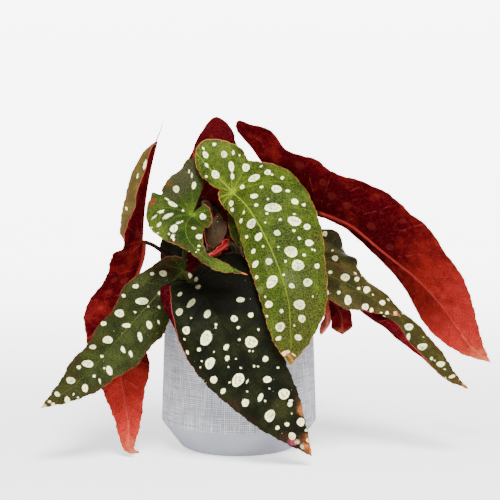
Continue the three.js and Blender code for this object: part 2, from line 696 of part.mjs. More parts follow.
// Leaf stalk from just clear of its cane's node, running into the raised midrib under the blade
function stalkGeometry(surface, stalk) {
  const ribCentres = [];
  const ribRadii = [];
  for (let i = 0; i <= RIB_STEPS; i += 1) {
    const share = i / RIB_STEPS;
    const { centre, up } = surface.frameAt(share * RIB_REACH * surface.length);
    const radius = THREE.MathUtils.lerp(STALK_RADIUS, RIB_TIP_RADIUS, Math.sqrt(share));
    ribCentres.push(centre.addScaledVector(up, -radius * RIB_SINK));
    ribRadii.push(radius);
  }
  const cane = CANES[stalk.cane];
  const curve = caneCurve(cane);
  const place = cane.nodes[stalk.node];
  const node = curve.getPointAt(place);
  const away = new THREE.Vector3(...(stalk.via[0] ?? ribCentres[0].toArray())).sub(node);
  const axis = curve.getTangentAt(place);
  away.addScaledVector(axis, -away.dot(axis)).normalize();
  const start = node.addScaledVector(away, caneRadius(cane, place) + SEAT_GAP);
  const straight = start.clone().addScaledVector(away, STALK_STRAIGHT);
  const bends = [straight.toArray(), ...stalk.via, ribCentres[0].toArray()];
  const centres = [start];
  for (let i = 0; i < 2 * (bends.length - 1); i += 1) {
    centres.push(vectorAt(bends, i / 2));
  }
  const radii = centres.map(() => STALK_RADIUS);
  return rodGeometry([...centres, ...ribCentres], [...radii, ...ribRadii], STALK_SIDES);
}

function leafGeometry(spec) {
  const surface = new LeafSurface(spec);
  const [bladeRows, lobeRows, columns] = spec.grid ?? [BLADE_ROWS, LOBE_ROWS, BLADE_COLUMNS];
  const blade = solidOf(bladeGeometry(surface, bladeRows, lobeRows, columns));
  const stalk = solidOf(stalkGeometry(surface, spec.stalk));
  return geometryOf(blade.add(stalk));
}

function caneCurve(spec) {
  return new THREE.CatmullRomCurve3(spec.route.map((p) => new THREE.Vector3(...p)));
}

function caneRadius(spec, place) {
  const [foot, top] = spec.radii;
  const swollen = spec.nodes.includes(place) ? 1 + NODE_SWELLING : 1;
  return (foot + (top - foot) * place) * swollen;
}

// Cane with three close rings at each swollen node
function caneGeometry(spec) {
  const curve = caneCurve(spec);
  const length = curve.getLength();
  const halfNode = NODE_HALF_LENGTH / length;
  const places = new Set([0, 1]);
  const evenSteps = Math.round(length / CANE_RING_STEP);
  for (let i = 1; i < evenSteps; i += 1) {
    const place = i / evenSteps;
    if (spec.nodes.every((node) => Math.abs(node - place) > 2 * halfNode)) {
      places.add(place);
    }
  }
  for (const node of spec.nodes) {
    places.add(node - halfNode).add(node).add(Math.min(node + halfNode, 1));
  }
  const sorted = [...places].sort((a, b) => a - b);
  const centres = sorted.map((place) => curve.getPointAt(place));
  const radii = sorted.map((place) => caneRadius(spec, place));
  return rodGeometry(centres, radii, CANE_SIDES);
}

// Pot: flat foot, sloping lower wall, slightly tapering upper wall and rounded rim, hollow inside
function potProfile() {
  const inside = POT_RIM_RADIUS - POT_WALL;
  return [
    [0, 0],
    [POT_FOOT_RADIUS, 0],
    [POT_FOOT_RADIUS + 2.5, POT_FOOT_EDGE],
    [POT_WIDEST_RADIUS - 0.6, POT_SHOULDER_HEIGHT - 3],
    [POT_WIDEST_RADIUS, POT_SHOULDER_HEIGHT],
    [POT_WIDEST_RADIUS - 0.2, POT_SHOULDER_HEIGHT + 10],
    [POT_RIM_RADIUS, POT_HEIGHT - 1.6],
    [POT_RIM_RADIUS - 1.4, POT_HEIGHT],
    [inside + 1.2, POT_HEIGHT],
    [inside, POT_HEIGHT - 1.4],
    [inside + 1.5, POT_SHOULDER_HEIGHT + 4],
    [POT_FOOT_RADIUS, POT_FLOOR + 1],
    [POT_FOOT_RADIUS - 3, POT_FLOOR],
    [0, POT_FLOOR],
  ].map(([r, z]) => new THREE.Vector2(r, z));
}

// Turned shape whose axis stands upright
function uprightLathe(profile, sides) {
  return new THREE.LatheGeometry(profile, sides).rotateX(Math.PI / 2);
}

// Soil filling the pot to a little under the rim, with a gently lumpy top and a plain hole for each cane
function soilGeometry() {
  const inside = POT_RIM_RADIUS - POT_WALL - SEAT_GAP;
  const rings = [0, 0.22, 0.44, 0.66, 0.85].map((share) => [share * inside, SOIL_HEIGHT]);
  const profile = [
    [0, POT_FLOOR + SEAT_GAP],
    [POT_FOOT_RADIUS - 3.3, POT_FLOOR + SEAT_GAP],
    [POT_FOOT_RADIUS - 0.4, POT_FLOOR + 1.3],
    [inside + 1.2, POT_SHOULDER_HEIGHT + 4.2],
    [inside, SOIL_HEIGHT],
    ...rings.reverse(),
  ].map(([r, z]) => new THREE.Vector2(r, z));
  const geometry = uprightLathe(profile, SOIL_SIDES);
  const position = geometry.attributes.position;
  for (let i = 0; i < position.count; i += 1) {
    const x = position.getX(i);
    const y = position.getY(i);
    if (position.getZ(i) > SOIL_HEIGHT - 0.01 && Math.hypot(x, y) < inside - 1) {
      const [a, b, c, d] = SOIL_LUMPS;
      const lump = Math.sin(a * x + 1) * Math.cos(b * y) + 0.5 * Math.sin(c * x - d * y);
      position.setZ(i, SOIL_HEIGHT + SOIL_RELIEF * lump);
    }
  }
  let soil = solidOf(geometry);
  for (const spec of Object.values(CANES)) {
    soil = soil.subtract(solidOf(caneHole(spec)));
  }
  return geometryOf(soil);
}

// Plain hole for a cane's foot, running out above the soil
function caneHole(spec) {
  const curve = caneCurve(spec);
  const reach = (CANE_FOOT_DEPTH + HOLE_BEYOND_SOIL) / curve.getLength();
  const centres = [0, 0.25, 0.5, 0.75, 1].map((share) => curve.getPointAt(share * reach));
  const start = centres[0].clone().sub(centres[1]).normalize();
  centres[0].addScaledVector(start, SEAT_GAP);
  const clearance = spec.radii[0] + SEAT_GAP;
  return rodGeometry(centres, centres.map(() => clearance), 2 * CANE_SIDES);
}

const plant = new THREE.Group();

function addPiece(name, geometry, finish) {
  const material = new THREE.MeshStandardMaterial({ ...COLOURS[finish], metalness: 0 });
  const mesh = new THREE.Mesh(geometry, material);
  mesh.name = name;
  plant.add(mesh);
}

addPiece("pot", uprightLathe(potProfile(), POT_SIDES), "pot");
addPiece("soil", soilGeometry(), "soil");
for (const [name, spec] of Object.entries(CANES)) {
  addPiece(name, caneGeometry(spec), "cane");
}
for (const [name, spec] of Object.entries(LEAVES)) {
  addPiece(name, leafGeometry(spec), spec.colour);
}

export default plant;
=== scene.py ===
# Looks of the potted polka dot begonia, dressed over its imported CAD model.
# The shapes are worked out in millimetres, as in the CAD source, and turned to metres when a mesh is made.

import math

import bpy
import numpy as np
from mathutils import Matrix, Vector


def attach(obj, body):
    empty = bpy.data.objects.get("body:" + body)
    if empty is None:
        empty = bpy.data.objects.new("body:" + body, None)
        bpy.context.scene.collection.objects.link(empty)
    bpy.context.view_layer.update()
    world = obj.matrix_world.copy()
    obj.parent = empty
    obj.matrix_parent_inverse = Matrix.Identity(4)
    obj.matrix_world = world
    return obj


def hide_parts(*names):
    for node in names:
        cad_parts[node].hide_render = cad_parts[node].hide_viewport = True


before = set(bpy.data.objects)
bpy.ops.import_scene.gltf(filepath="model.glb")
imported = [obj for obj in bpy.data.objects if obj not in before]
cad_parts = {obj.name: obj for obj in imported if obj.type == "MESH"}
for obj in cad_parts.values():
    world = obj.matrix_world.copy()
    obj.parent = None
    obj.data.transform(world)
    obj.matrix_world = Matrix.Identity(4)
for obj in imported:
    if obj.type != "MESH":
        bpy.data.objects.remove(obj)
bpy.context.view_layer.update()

# Sizes shared with the CAD source
POT_WIDEST_RADIUS = 67.5
POT_RIM_RADIUS = 64.4
POT_FOOT_RADIUS = 48.5
POT_HEIGHT = 122
POT_SHOULDER_HEIGHT = 24
POT_WALL = 4.6
SOIL_HEIGHT = 107
SOIL_RELIEF = 1.6
SOIL_LUMPS = [0.21, 0.17, 0.11, 0.27]
SEAT_GAP = 0.3
NODE_SWELLING = 0.32
BLADE_THICKNESS = 0.9
STALK_RADIUS = 1.8
STALK_STRAIGHT = 4
RIB_TIP_RADIUS = 0.5
RIB_REACH = 0.82
RIB_SINK = 0.7
VEIN_LEAN = 0.6
ROLL_SHARE = 0.3
FLAT_LOBE_END = -14
FULL_FOLD_START = 8
LOBE_CURL_LENGTH = 60
NARROW_WAVE_SHIFT = 0.37
WIDTH_STATIONS = [0, 0.15, 0.35, 0.55, 0.75, 0.9, 1]

# Fineness of the dressed pieces
FINE_STEP = 1.15
PLAIN_STEP = 1.9
VEIN_ANGLE = 28
LEAST_VEIN_SPACING = 14
VEINS_PER_LEAF = 8
PUCKER = 0.7
FARTHEST_SPOT = 4.0
CLEAR_OF_SEEN_SPOTS = 19
CAST_SPREAD = 0.95
RIB_DIMNESS = 0.75
TEXTURE_SPACING = 40.0
TUBE_START_SIDE = [1, 0.13, 0.21]
CANE_SIDES = 28
CANE_STEP = 0.7
CANE_END_ROUNDING = 1.2
CANE_SCAR_REACH = 1.5
STALK_STEP = 1.6
STALK_SIDES = 14
POT_SIDES = 192
SOIL_SIDES = 180
CLODS = 240
CRUMBS = 320

# Seeded spots: how many to each square millimetre, least and greatest half length
SEEDED_SPOTS = [(0.0048, 3.2, 5.2), (0.009, 1.6, 2.7), (0.008, 0.7, 1.2)]

# Stage in millimetres, its light, and the lamps in metres and watts
FLOOR_RADIUS = 1500
FLOOR_BEND = 500
FLOOR_WALL_HEIGHT = 750
FLOOR_SIDES = 96
BACKDROP_LIGHT = 4.3
WORLD_LIGHT = 0.16
LAMP_SIZE = 0.8
LAMP_TARGET = (0, 0, 0.15)
LAMPS = {"key": ((0.15, -1.05, 1.6), 92), "fill": ((-0.4, -1.9, 0.5), 9)}

# Canes and leaves, with the same numbers and the same meaning as in the CAD source
CANES = {
    "left_cane": {
        "route": [[-14, -4, 81], [-17, -5, 120], [-23, -7, 160], [-27, -8, 196], [-29, -10, 216]],
        "radii": [4.0, 2.6], "nodes": [0.3, 0.42, 0.54, 0.66, 0.78, 0.89, 0.98],
    },
    "middle_cane": {
        "route": [[4, 4, 81], [3, 5, 130], [-1, 5, 180], [-2, 2, 214], [-2, -4, 236]], "radii": [4.0, 2.6],
        "nodes": [0.3, 0.42, 0.54, 0.66, 0.78, 0.9],
    },
    "right_cane": {
        "route": [[20, 8, 81], [26, 8, 120], [33, 6, 160], [39, 3, 200]], "radii": [3.8, 2.6],
        "nodes": [0.3, 0.42, 0.56, 0.7, 0.82, 0.95],
    },
}

LEAVES = {
    "front_leaf": {
        "stalk": {"cane": "left_cane", "node": 2, "via": [[-30, -28, 158]]},
        "rib": [[-38, -45, 148], [-27, -62, 138], [-14, -78, 120], [6, -86, 85], [30, -88, 47],
            [61, -86, 9]],
        "face": [[-0.1, -0.85, 0.5], [-0.1, -0.95, 0.3], [0, -0.9, 0.35]], "wide_side": "left",
        "wide": [44, 40, 31, 24, 11], "narrow": [54, 42, 32, 19, 8],
        "lobe_wide": [[90, 44], [110, 34], [130, 24], [145, 17], [156, 9]],
        "lobe_narrow": [[90, 45], [105, 37], [120, 24], [135, 9]], "fold_wide": [10, 5, 8],
        "fold_narrow": [20, 8, 8], "curl_wide": [0, -20, -10], "curl_narrow": [10, -20, -10],
        "wave": [3, 4, 0.2], "lobe_curl": 0, "roll_narrow": [240, 10, 0], "roll_share": 0.42,
    },
    "left_leaf": {
        "stalk": {"cane": "left_cane", "node": 3, "via": [[-40, -20, 181], [-46, -28, 173]]},
        "rib": [[-46, -34, 158], [-68, -47, 139], [-92, -62, 113], [-115, -74, 88], [-138, -83, 66],
            [-163, -88, 50]],
        "face": [[-0.1, -0.75, 0.65], [-0.3, -0.75, 0.55], [-0.2, -0.85, 0.45]], "wide_side": "right",
        "wide": [27, 26, 23, 18, 8], "narrow": [16, 26, 24, 16, 7],
        "lobe_wide": [[90, 19], [120, 13], [150, 10]], "lobe_narrow": [[90, 12], [105, 8], [115, 5]],
        "fold_wide": [5, 0, 5], "fold_narrow": [-42, -25, -15], "curl_wide": [10, -10, 0],
        "curl_narrow": [-10, -20, -10], "wave": [3, 4, 0.6], "lobe_curl": 20, "roll_wide": [110, 0, 0],
    },
    "centre_leaf": {
        "stalk": {"cane": "middle_cane", "node": 5, "via": [[-4, -20, 226]]},
        "rib": [[-5, -38, 225], [8, -54, 213], [22, -70, 191], [34, -82, 164], [41, -90, 140],
            [43, -94, 114], [43, -94, 87]],
        "face": [[-0.1, -0.9, 0.4], [0.1, -0.95, 0.3], [0.1, -0.95, 0.25]], "wide_side": "left",
        "wide": [51, 49, 39, 29, 14], "narrow": [16, 23, 24, 21, 13],
        "lobe_wide": [[90, 44], [107, 37], [121, 35], [137, 47], [150, 53], [168, 59], [182, 52],
            [198, 33], [206, 19], [213, 9]],
        "lobe_narrow": [[90, 14], [125, 13], [141, 13]], "fold_wide": [0, 5, 10],
        "fold_narrow": [-20, -24, 0], "curl_wide": [-20, -25, -10], "curl_narrow": [-10, -20, -10],
        "wave": [2, 4, 0.1], "lobe_curl": 25,
    },
    "left_centre_leaf": {
        "stalk": {"cane": "left_cane", "node": 5, "via": [[-34, -26, 208]]},
        "rib": [[-39, -40, 206], [-44, -51, 198], [-42, -62, 188], [-34, -70, 179], [-22, -76, 170],
            [8, -82, 160]],
        "face": [[0.18, -0.75, 0.65], [-0.15, -0.8, 0.5], [0.1, -0.8, 0.6]], "wide_side": "right",
        "wide": [35, 10, 4.5, 5.5, 2], "narrow": [17, 13, 4.5, 4, 1],
        "lobe_wide": [[90, 39], [98, 32], [112, 37], [124, 43], [143, 49], [153, 61], [161, 60], [172, 32]],
        "lobe_narrow": [[90, 18], [130, 17], [150, 18], [168, 17]], "fold_wide": [10, 5, 0],
        "fold_narrow": [10, 5, 0], "curl_wide": [-10, -30, -10], "curl_narrow": [-10, -20, -10],
        "wave": [2, 3, 0.1], "lobe_curl": 20,
    },
    "left_red_leaf": {
        "stalk": {"cane": "left_cane", "node": 1, "via": [[-46, -8, 154], [-70, -7, 174]]},
        "rib": [[-83, -8, 180], [-84, -10, 166], [-90, -14, 148], [-99, -21, 126], [-105, -30, 100],
            [-100, -38, 66], [-94, -45, 36], [-93, -51, 9], [-84, -56, 5]],
        "face": [[-0.9, -0.43, 0.1], [-0.55, 0.8, 0.1], [-0.2, 0.95, 0.1]], "wide_side": "left",
        "wide": [29, 29, 23, 15, 8], "narrow": [20, 28, 31, 16, 8],
        "lobe_wide": [[90, 39], [105, 34], [129, 30], [150, 33], [158, 48], [168, 61], [170, 70],
            [173, 81], [178, 87]],
        "lobe_narrow": [[90, 17], [120, 29], [136, 36], [149, 41], [158, 52], [166, 70], [171, 80],
            [177, 88]],
        "fold_wide": [60, 28, 15], "fold_narrow": [46, 5, 15], "curl_wide": [-10, 0, 0],
        "curl_narrow": [-10, 0, 0], "wave": [3, 4, 0.1], "lobe_curl": -11, "lobe_fold": 0.9,
    },
    "right_red_leaf": {
        "stalk": {"cane": "right_cane", "node": 5, "via": [[52, 1, 207]]},
        "rib": [[69, -5, 206], [94, -10, 196], [109, -14, 185], [122, -18, 174], [151, -26, 151],
            [171, -30, 130], [188, -32, 106], [200, -32, 91], [216, -30, 78]],
        "face": [[0.1, 0.75, 0.6], [0.25, 0.75, 0.6], [0.3, 0.8, 0.5]], "wide_side": "right",
        "wide": [50, 56, 43, 26, 12], "narrow": [12, 18, 33, 30, 13],
        "lobe_wide": [[90, 49], [115, 59], [128, 68], [134, 91], [139, 102], [144, 108], [148, 101],
            [152, 76], [158, 42], [170, 20]],
        "lobe_narrow": [[90, 8], [120, 5]], "fold_narrow": [20, 20, 0], "wave": [2.5, 4, 0.1],
        "lobe_curl": 0,
    },
    "right_leaf": {
        "stalk": {"cane": "right_cane", "node": 3, "via": [[50, -5, 172]]},
        "rib": [[68, -15, 163], [87, -22, 150], [109, -32, 132], [133, -42, 112], [158, -50, 90],
            [178, -56, 71], [193, -60, 61]],
        "face": [[0.2, -0.6, 0.75], [0.3, -0.7, 0.65], [0.3, -0.8, 0.5]], "wide_side": "left",
        "wide": [24, 22, 19, 14, 6], "narrow": [26, 33, 27, 14, 6],
        "lobe_wide": [[90, 44], [110, 46], [130, 40], [150, 22]],
        "lobe_narrow": [[90, 12], [120, 10], [135, 8]], "fold_narrow": [0, 10, 0],
        "curl_wide": [-10, -20, 0], "curl_narrow": [0, 10, 0], "wave": [2, 4, 0.1], "lobe_curl": 0,
        "roll_narrow": [200, 170, 0], "roll_share": 0.55,
    },
    "right_small_leaf": {
        "stalk": {"cane": "right_cane", "node": 2, "via": [[42, -8, 158]]},
        "rib": [[57, -34, 162], [73, -43, 156], [94, -52, 147], [117, -58, 134], [136, -60, 122]],
        "face": [[0.1, -0.5, 0.85], [0.2, -0.6, 0.8], [0.3, -0.7, 0.65]], "wide_side": "left",
        "wide": [20, 20, 17, 11, 5], "narrow": [22, 25, 22, 14, 5],
        "lobe_wide": [[90, 20], [120, 18], [150, 16], [165, 14]],
        "lobe_narrow": [[90, 16], [120, 14], [135, 12]], "curl_wide": [-10, -20, 0],
        "curl_narrow": [-10, -20, 0], "wave": [1.5, 3, 0.1], "lobe_curl": 0,
    },
    "right_low_red_leaf": {
        "stalk": {"cane": "right_cane", "node": 1, "via": [[44, 8, 142], [58, 5, 148]]},
        "rib": [[69, 0, 141], [79, -4, 130], [88, -8, 117], [90, -10, 99]],
        "face": [[0.5, 0.5, 0.6], [0.4, 0.9, 0.2], [0.1, 0.95, 0.1]], "wide_side": "left",
        "wide": [12, 12, 11, 10, 9], "narrow": [10, 10, 9, 9, 8],
        "lobe_wide": [[90, 12], [120, 10], [150, 9]], "lobe_narrow": [[90, 9], [120, 8]],
        "fold_wide": [0, 10, 10], "fold_narrow": [0, 10, 10], "wave": [1.5, 3, 0.1], "lobe_curl": 0,
    },
    "withered_leaf": {
        "stalk": {"cane": "right_cane", "node": 0, "via": [[42, -3, 132], [56, -9, 141]]},
        "rib": [[66, -12, 138], [73, -15, 126], [76, -15, 112], [71, -14, 99]],
        "face": [[0.6, 0.2, 0.6], [0.4, 0.9, 0.2], [-0.3, 0.95, 0.1]], "wide_side": "left",
        "wide": [5, 6, 5, 6, 4], "narrow": [4, 5, 4, 5, 3], "lobe_wide": [[90, 5], [130, 4]],
        "lobe_narrow": [[90, 4], [120, 3]], "fold_wide": [20, 40, 30], "fold_narrow": [20, 40, 30],
        "curl_wide": [30, 30, 30], "curl_narrow": [30, 30, 30], "wave": [1, 3, 0.1], "lobe_curl": 0,
    },
    "back_top_leaf": {
        "stalk": {"cane": "middle_cane", "node": 3, "via": [[-18, 12, 205]]},
        "rib": [[-37, 12, 214], [-36, 18, 196], [-34, 40, 174], [-34, 70, 142], [-33, 90, 92],
            [-30, 96, 46]],
        "face": [[-0.2, 0.9, 0.3], [-0.1, 0.85, 0.5], [0, 0.95, 0.2]], "wide_side": "right",
        "wide": [43, 43, 36, 26, 12], "narrow": [20, 28, 26, 20, 9],
        "lobe_wide": [[90, 33], [120, 45], [144, 63], [154, 73], [164, 77], [171, 66], [180, 47],
            [190, 36]],
        "lobe_narrow": [[90, 18], [115, 17], [135, 14]], "fold_wide": [0, 0, 10], "fold_narrow": [0, 0, 10],
        "curl_wide": [-10, -20, 0], "curl_narrow": [-10, -20, 0], "wave": [2.5, 4, 0.1], "lobe_curl": 0,
    },
    "left_inner_leaf": {
        "stalk": {"cane": "left_cane", "node": 4, "via": [[-44, 2, 203]]},
        "rib": [[-54, 5, 196], [-57, 10, 178], [-61, 15, 152], [-65, 18, 128]],
        "face": [[-0.4, -0.6, 0.7], [-0.3, -0.9, 0.3], [-0.2, -0.95, 0.1]], "wide_side": "left",
        "wide": [15, 15, 13, 9, 5], "narrow": [12, 12, 10, 7, 4],
        "lobe_wide": [[90, 15], [120, 14], [150, 14]], "lobe_narrow": [[90, 10], [125, 8]],
        "fold_wide": [5, 5, 5], "fold_narrow": [5, 5, 5], "wave": [1.5, 3, 0.1], "lobe_curl": 0,
    },
    "young_leaf": {
        "stalk": {"cane": "left_cane", "node": 6, "via": []},
        "rib": [[-22, -23, 200], [-22, -28, 194], [-22, -32, 186], [-21, -33, 177]],
        "face": [[-0.1, -0.7, 0.7], [0, -0.9, 0.4], [0, -0.9, 0.3]], "wide_side": "left",
        "wide": [12, 12, 11, 9, 5], "narrow": [10, 12, 11, 9, 5],
        "lobe_wide": [[90, 8], [120, 8], [150, 7]], "lobe_narrow": [[90, 6], [120, 5]],
        "fold_wide": [10, 10, 10], "fold_narrow": [10, 20, 10], "curl_narrow": [10, 20, 10],
        "wave": [0.5, 3, 0.1], "lobe_curl": 0, "roll_narrow": [60, 120, 60],
    },
    "middle_young_leaf": {
        "stalk": {"cane": "middle_cane", "node": 4, "via": []},
        "rib": [[-4, -17, 206], [-2, -25, 198], [0, -30, 187], [2, -32, 176]],
        "face": [[-0.1, -0.7, 0.7], [0, -0.9, 0.4], [0, -0.9, 0.3]], "wide_side": "left",
        "wide": [9, 9, 8, 6, 3], "narrow": [7, 8, 8, 6, 3], "lobe_wide": [[90, 7], [120, 6], [150, 6]],
        "lobe_narrow": [[90, 5], [120, 4]], "fold_wide": [25, 20, 10], "fold_narrow": [25, 20, 10],
        "curl_wide": [20, 20, 10], "curl_narrow": [20, 20, 10], "wave": [0.5, 3, 0.1], "lobe_curl": 0,
    },
    "inner_red_leaf": {
        "stalk": {"cane": "middle_cane", "node": 2, "via": [[-6, -14, 178]]},
        "rib": [[-9, -32, 181], [-14, -36, 177], [-20, -39, 173], [-27, -40, 171]],
        "face": [[0, 0.9, 0.4], [0, 0.9, 0.4], [0, 0.95, 0.3]], "wide_side": "left",
        "wide": [3.5, 3.5, 3, 2.5, 1.5], "narrow": [3, 3, 2.5, 2.5, 1.5],
        "lobe_wide": [[90, 5], [120, 4], [150, 4]], "lobe_narrow": [[90, 4], [125, 3]],
        "fold_wide": [5, 5, 5], "fold_narrow": [5, 5, 5], "wave": [1, 3, 0.1], "lobe_curl": 0,
    },
    "back_right_leaf": {
        "stalk": {"cane": "right_cane", "node": 4, "via": [[34, 18, 198]]},
        "rib": [[28, 30, 214], [32, 50, 207], [38, 76, 180], [42, 94, 135], [40, 100, 90], [36, 99, 58]],
        "face": [[0.1, 0.3, 0.95], [0.1, 0.85, 0.5], [0.1, 0.95, 0.2]], "wide_side": "right",
        "wide": [34, 36, 30, 22, 9], "narrow": [28, 30, 26, 18, 8],
        "lobe_wide": [[90, 32], [120, 30], [150, 30], [170, 26]],
        "lobe_narrow": [[90, 24], [115, 22], [135, 16]], "fold_wide": [8, 5, 8], "fold_narrow": [8, 5, 8],
        "curl_wide": [-20, -30, 0], "curl_narrow": [-20, -30, 0], "wave": [2.5, 4, 0.4], "lobe_curl": 0,
    },
    "back_low_leaf": {
        "stalk": {"cane": "middle_cane", "node": 1, "via": [[6, 16, 155]]},
        "rib": [[10, 28, 160], [16, 48, 156], [22, 68, 134], [24, 75, 104], [22, 75, 72], [18, 73, 50]],
        "face": [[0, 0.2, 0.98], [0, 0.8, 0.6], [0, 0.95, 0.2]], "wide_side": "left",
        "wide": [22, 24, 20, 14, 6], "narrow": [18, 20, 17, 12, 5],
        "lobe_wide": [[90, 20], [120, 20], [150, 20], [170, 18]],
        "lobe_narrow": [[90, 16], [115, 14], [135, 12]], "fold_wide": [8, 5, 8], "fold_narrow": [8, 5, 8],
        "curl_wide": [-20, -30, 0], "curl_narrow": [-20, -30, 0], "wave": [2, 4, 0.4], "lobe_curl": 0,
    },
}

# Camera: where the photograph was taken from, in the same frame
CAMERA_FALL = math.radians(6.2)
CAMERA_DISTANCE = 1500
IMAGE_SIZE = 500
FOCAL_PIXELS = 1705
AIM_RIGHT = 11
AIM_UP = 194
SENSOR_MM = 36

# Looks of each leaf as 0-255 colours: deep and fresh are the upper side's two greens, warm the brown it takes
# on near the margin and the tip, glow the midrib and veins, veins how far the side veins stand out, rim the
# margin, and the last number how far the spots are darkened near the stalk, as painted shade. Wine and coral
# are the under side's two reds; the change to coral towards the tip is partly painted light.
GREENS = {
    "bright": {
        "deep": (25, 37, 10), "fresh": (58, 71, 20), "warm": (50, 38, 14), "glow": (134, 150, 34),
        "veins": 0.3, "rim": (150, 88, 48), "spot_shade": 0.0,
    },
    "olive": {
        "deep": (20, 25, 10), "fresh": (46, 52, 20), "warm": (48, 34, 15), "glow": (84, 90, 34),
        "veins": 0.18, "rim": (104, 62, 42), "spot_shade": 0.5,
    },
    "dark": {
        "deep": (9, 11, 5), "fresh": (27, 30, 11), "warm": (34, 18, 9), "glow": (26, 28, 12), "veins": 0.08,
        "rim": (54, 36, 22), "spot_shade": 0.75,
    },
    "brown": {
        "deep": (24, 31, 9), "fresh": (52, 64, 19), "warm": (52, 34, 20), "glow": (90, 118, 30),
        "veins": 0.25, "rim": (120, 70, 44), "spot_shade": 0.0,
    },
    "amber": {
        "deep": (34, 31, 12), "fresh": (62, 58, 24), "warm": (62, 38, 18), "glow": (92, 84, 40),
        "veins": 0.2, "rim": (104, 62, 42), "spot_shade": 0.5,
    },
    "tan": {
        "deep": (58, 48, 22), "fresh": (94, 80, 40), "warm": (100, 64, 38), "glow": (112, 96, 52),
        "veins": 0.2, "rim": (150, 84, 62), "spot_shade": 0.0,
    },
    "mauve": {
        "deep": (36, 26, 18), "fresh": (54, 44, 28), "warm": (60, 22, 16), "glow": (66, 54, 34),
        "veins": 0.2, "rim": (110, 40, 34), "spot_shade": 0.0,
    },
}
REDS = {
    "wine": {"wine": (38, 3, 8), "coral": (92, 12, 18)},
    "coral": {"wine": (50, 2, 6), "coral": (154, 40, 34)},
    "bright": {"wine": (110, 10, 20), "coral": (160, 36, 44)},
    "crimson": {"wine": (50, 5, 9), "coral": (96, 18, 18)},
    "dull": {"wine": (120, 46, 40), "coral": (164, 84, 72)},
}
STEMS = {"green": (30, 33, 12), "red": (34, 16, 10)}

# Greens, reds, material slot and seed of each leaf
LOOKS = {
    "front_leaf": ("dark", "wine", "dark_leaf", 11),
    "left_leaf": ("olive", "wine", "dark_leaf", 12),
    "centre_leaf": ("bright", "wine", "green_leaf", 13),
    "left_centre_leaf": ("brown", "wine", "green_leaf", 14),
    "left_red_leaf": ("tan", "coral", "red_leaf", 15),
    "right_red_leaf": ("olive", "coral", "red_leaf", 16),
    "right_leaf": ("amber", "wine", "dark_leaf", 17),
    "right_small_leaf": ("amber", "wine", "green_leaf", 18),
    "right_low_red_leaf": ("dark", "wine", "red_leaf", 19),
    "withered_leaf": ("brown", "dull", "withered_leaf", 20),
    "back_top_leaf": ("olive", "crimson", "red_leaf", 21),
    "left_inner_leaf": ("dark", "wine", "dark_leaf", 22),
    "young_leaf": ("mauve", "coral", "red_leaf", 23),
    "middle_young_leaf": ("brown", "coral", "green_leaf", 24),
    "inner_red_leaf": ("dark", "bright", "red_leaf", 25),
    "back_right_leaf": ("bright", "wine", "green_leaf", 26),
    "back_low_leaf": ("dark", "wine", "dark_leaf", 27),
}
SPOTLESS = ["young_leaf", "middle_young_leaf", "inner_red_leaf", "withered_leaf", "left_inner_leaf"]

# Thread-like dry ends that stand above a blade's highest place, as offsets and radii
DRY_TAILS = {
    "left_red_leaf": [[0, 0, -3], [1.2, 0, 2.6], [2.5, 0, 5.5], [4.8, 0, 10.7], [5.6, 0, 14], [6, 0, 17]],
}
TAIL_RADII = [0.6, 0.5, 0.4, 0.3, 0.25, 0.15]

# Casts of colour on the upper sides, and where the photograph shows them: picture place, reach in pixels
# and cast. Shade is painted shade, the pale greyish-green cast is painted sheen, and mauve on the left centre
# leaf is painted sheen too; moss is a darker green, partly the leaf's own and partly painted shade.
CASTS = {
    "tan": (150, 92, 46), "brown": (40, 27, 14), "rust": (92, 34, 18), "mauve": (44, 34, 30),
    "shade": (5, 3, 3), "lime": (66, 76, 20), "bloom": (70, 74, 44), "moss": (17, 28, 11),
    "wine": (34, 7, 9), "olive": (40, 40, 17), "pink": (150, 62, 78), "cream": (214, 200, 160),
}
SEEN_CASTS = {
    "front_leaf": """
        212 284 22 shade  238 276 22 shade  193 284 12 shade  222 262 18 shade  206 298 12 shade
        225 300 10 shade  248 296 12 shade  191 303 6 shade  303 408 4 tan  305 414 3 tan
        312 448 5 tan  310 438 3 tan  293 441 3 pink  298 441 1.6 cream  303 446 1.8 cream
        232 407 7 brown  286 440 6 brown  300 398 4 brown  280 410 10 olive  303 436 4 brown
        308 441 4 rust  313 452 5 rust""",
    "left_leaf": """
        165 266 9 wine  155 283 8 shade  172 282 8 shade  163 273 5 shade  150 300 9 shade
        90 345 8 brown  78 362 6 brown  70 378 6 brown  95 335 9 olive  66 388 8 olive
        45 406 2.5 cream  157 262 5 wine""",
    # On the centre leaf the pale greyish-green casts are painted sheen, and the moss casts partly painted
    # shade.
    "centre_leaf": """
        291 279 7 bloom  268 262 5 bloom  259 290 4 bloom  291 350 10 brown  313 300 6 brown
        316 238 5 brown  284 326 8 brown  224 150 9 lime  220 180 6 lime  300 186 6 moss
        278 228 9 moss  300 275 9 moss  268 200 7 moss  288 240 10 moss  275 262 8 moss
        254 225 7 moss  300 298 11 olive  302 318 13 olive  298 337 11 olive  312 270 6 olive
        306 335 8 brown  285 305 8 moss""",
    # On the left centre leaf the mauve casts are a painted greyish sheen on the lobe, and the moss casts
    # partly painted shade.
    "left_centre_leaf": """
        182 178 13 mauve  173 192 9 mauve  192 168 8 mauve  169 184 3 rust  153 202 3 rust
        147 226 5 lime  160 233 6 lime  184 235 7 moss  196 222 6 moss  170 215 7 moss  222 267 9 lime""",
    "right_leaf": """
        328 232 10 shade  330 258 10 shade  341 243 8 shade  352 258 6 shade  398 340 5 moss
        425 352 7 olive  446 370 6 olive""",
    "right_small_leaf": """
        345 263 4 rust  356 272 3 rust  399 314 4 tan  352 285 6 moss  330 283 8 shade
        342 268 6 shade""",
}
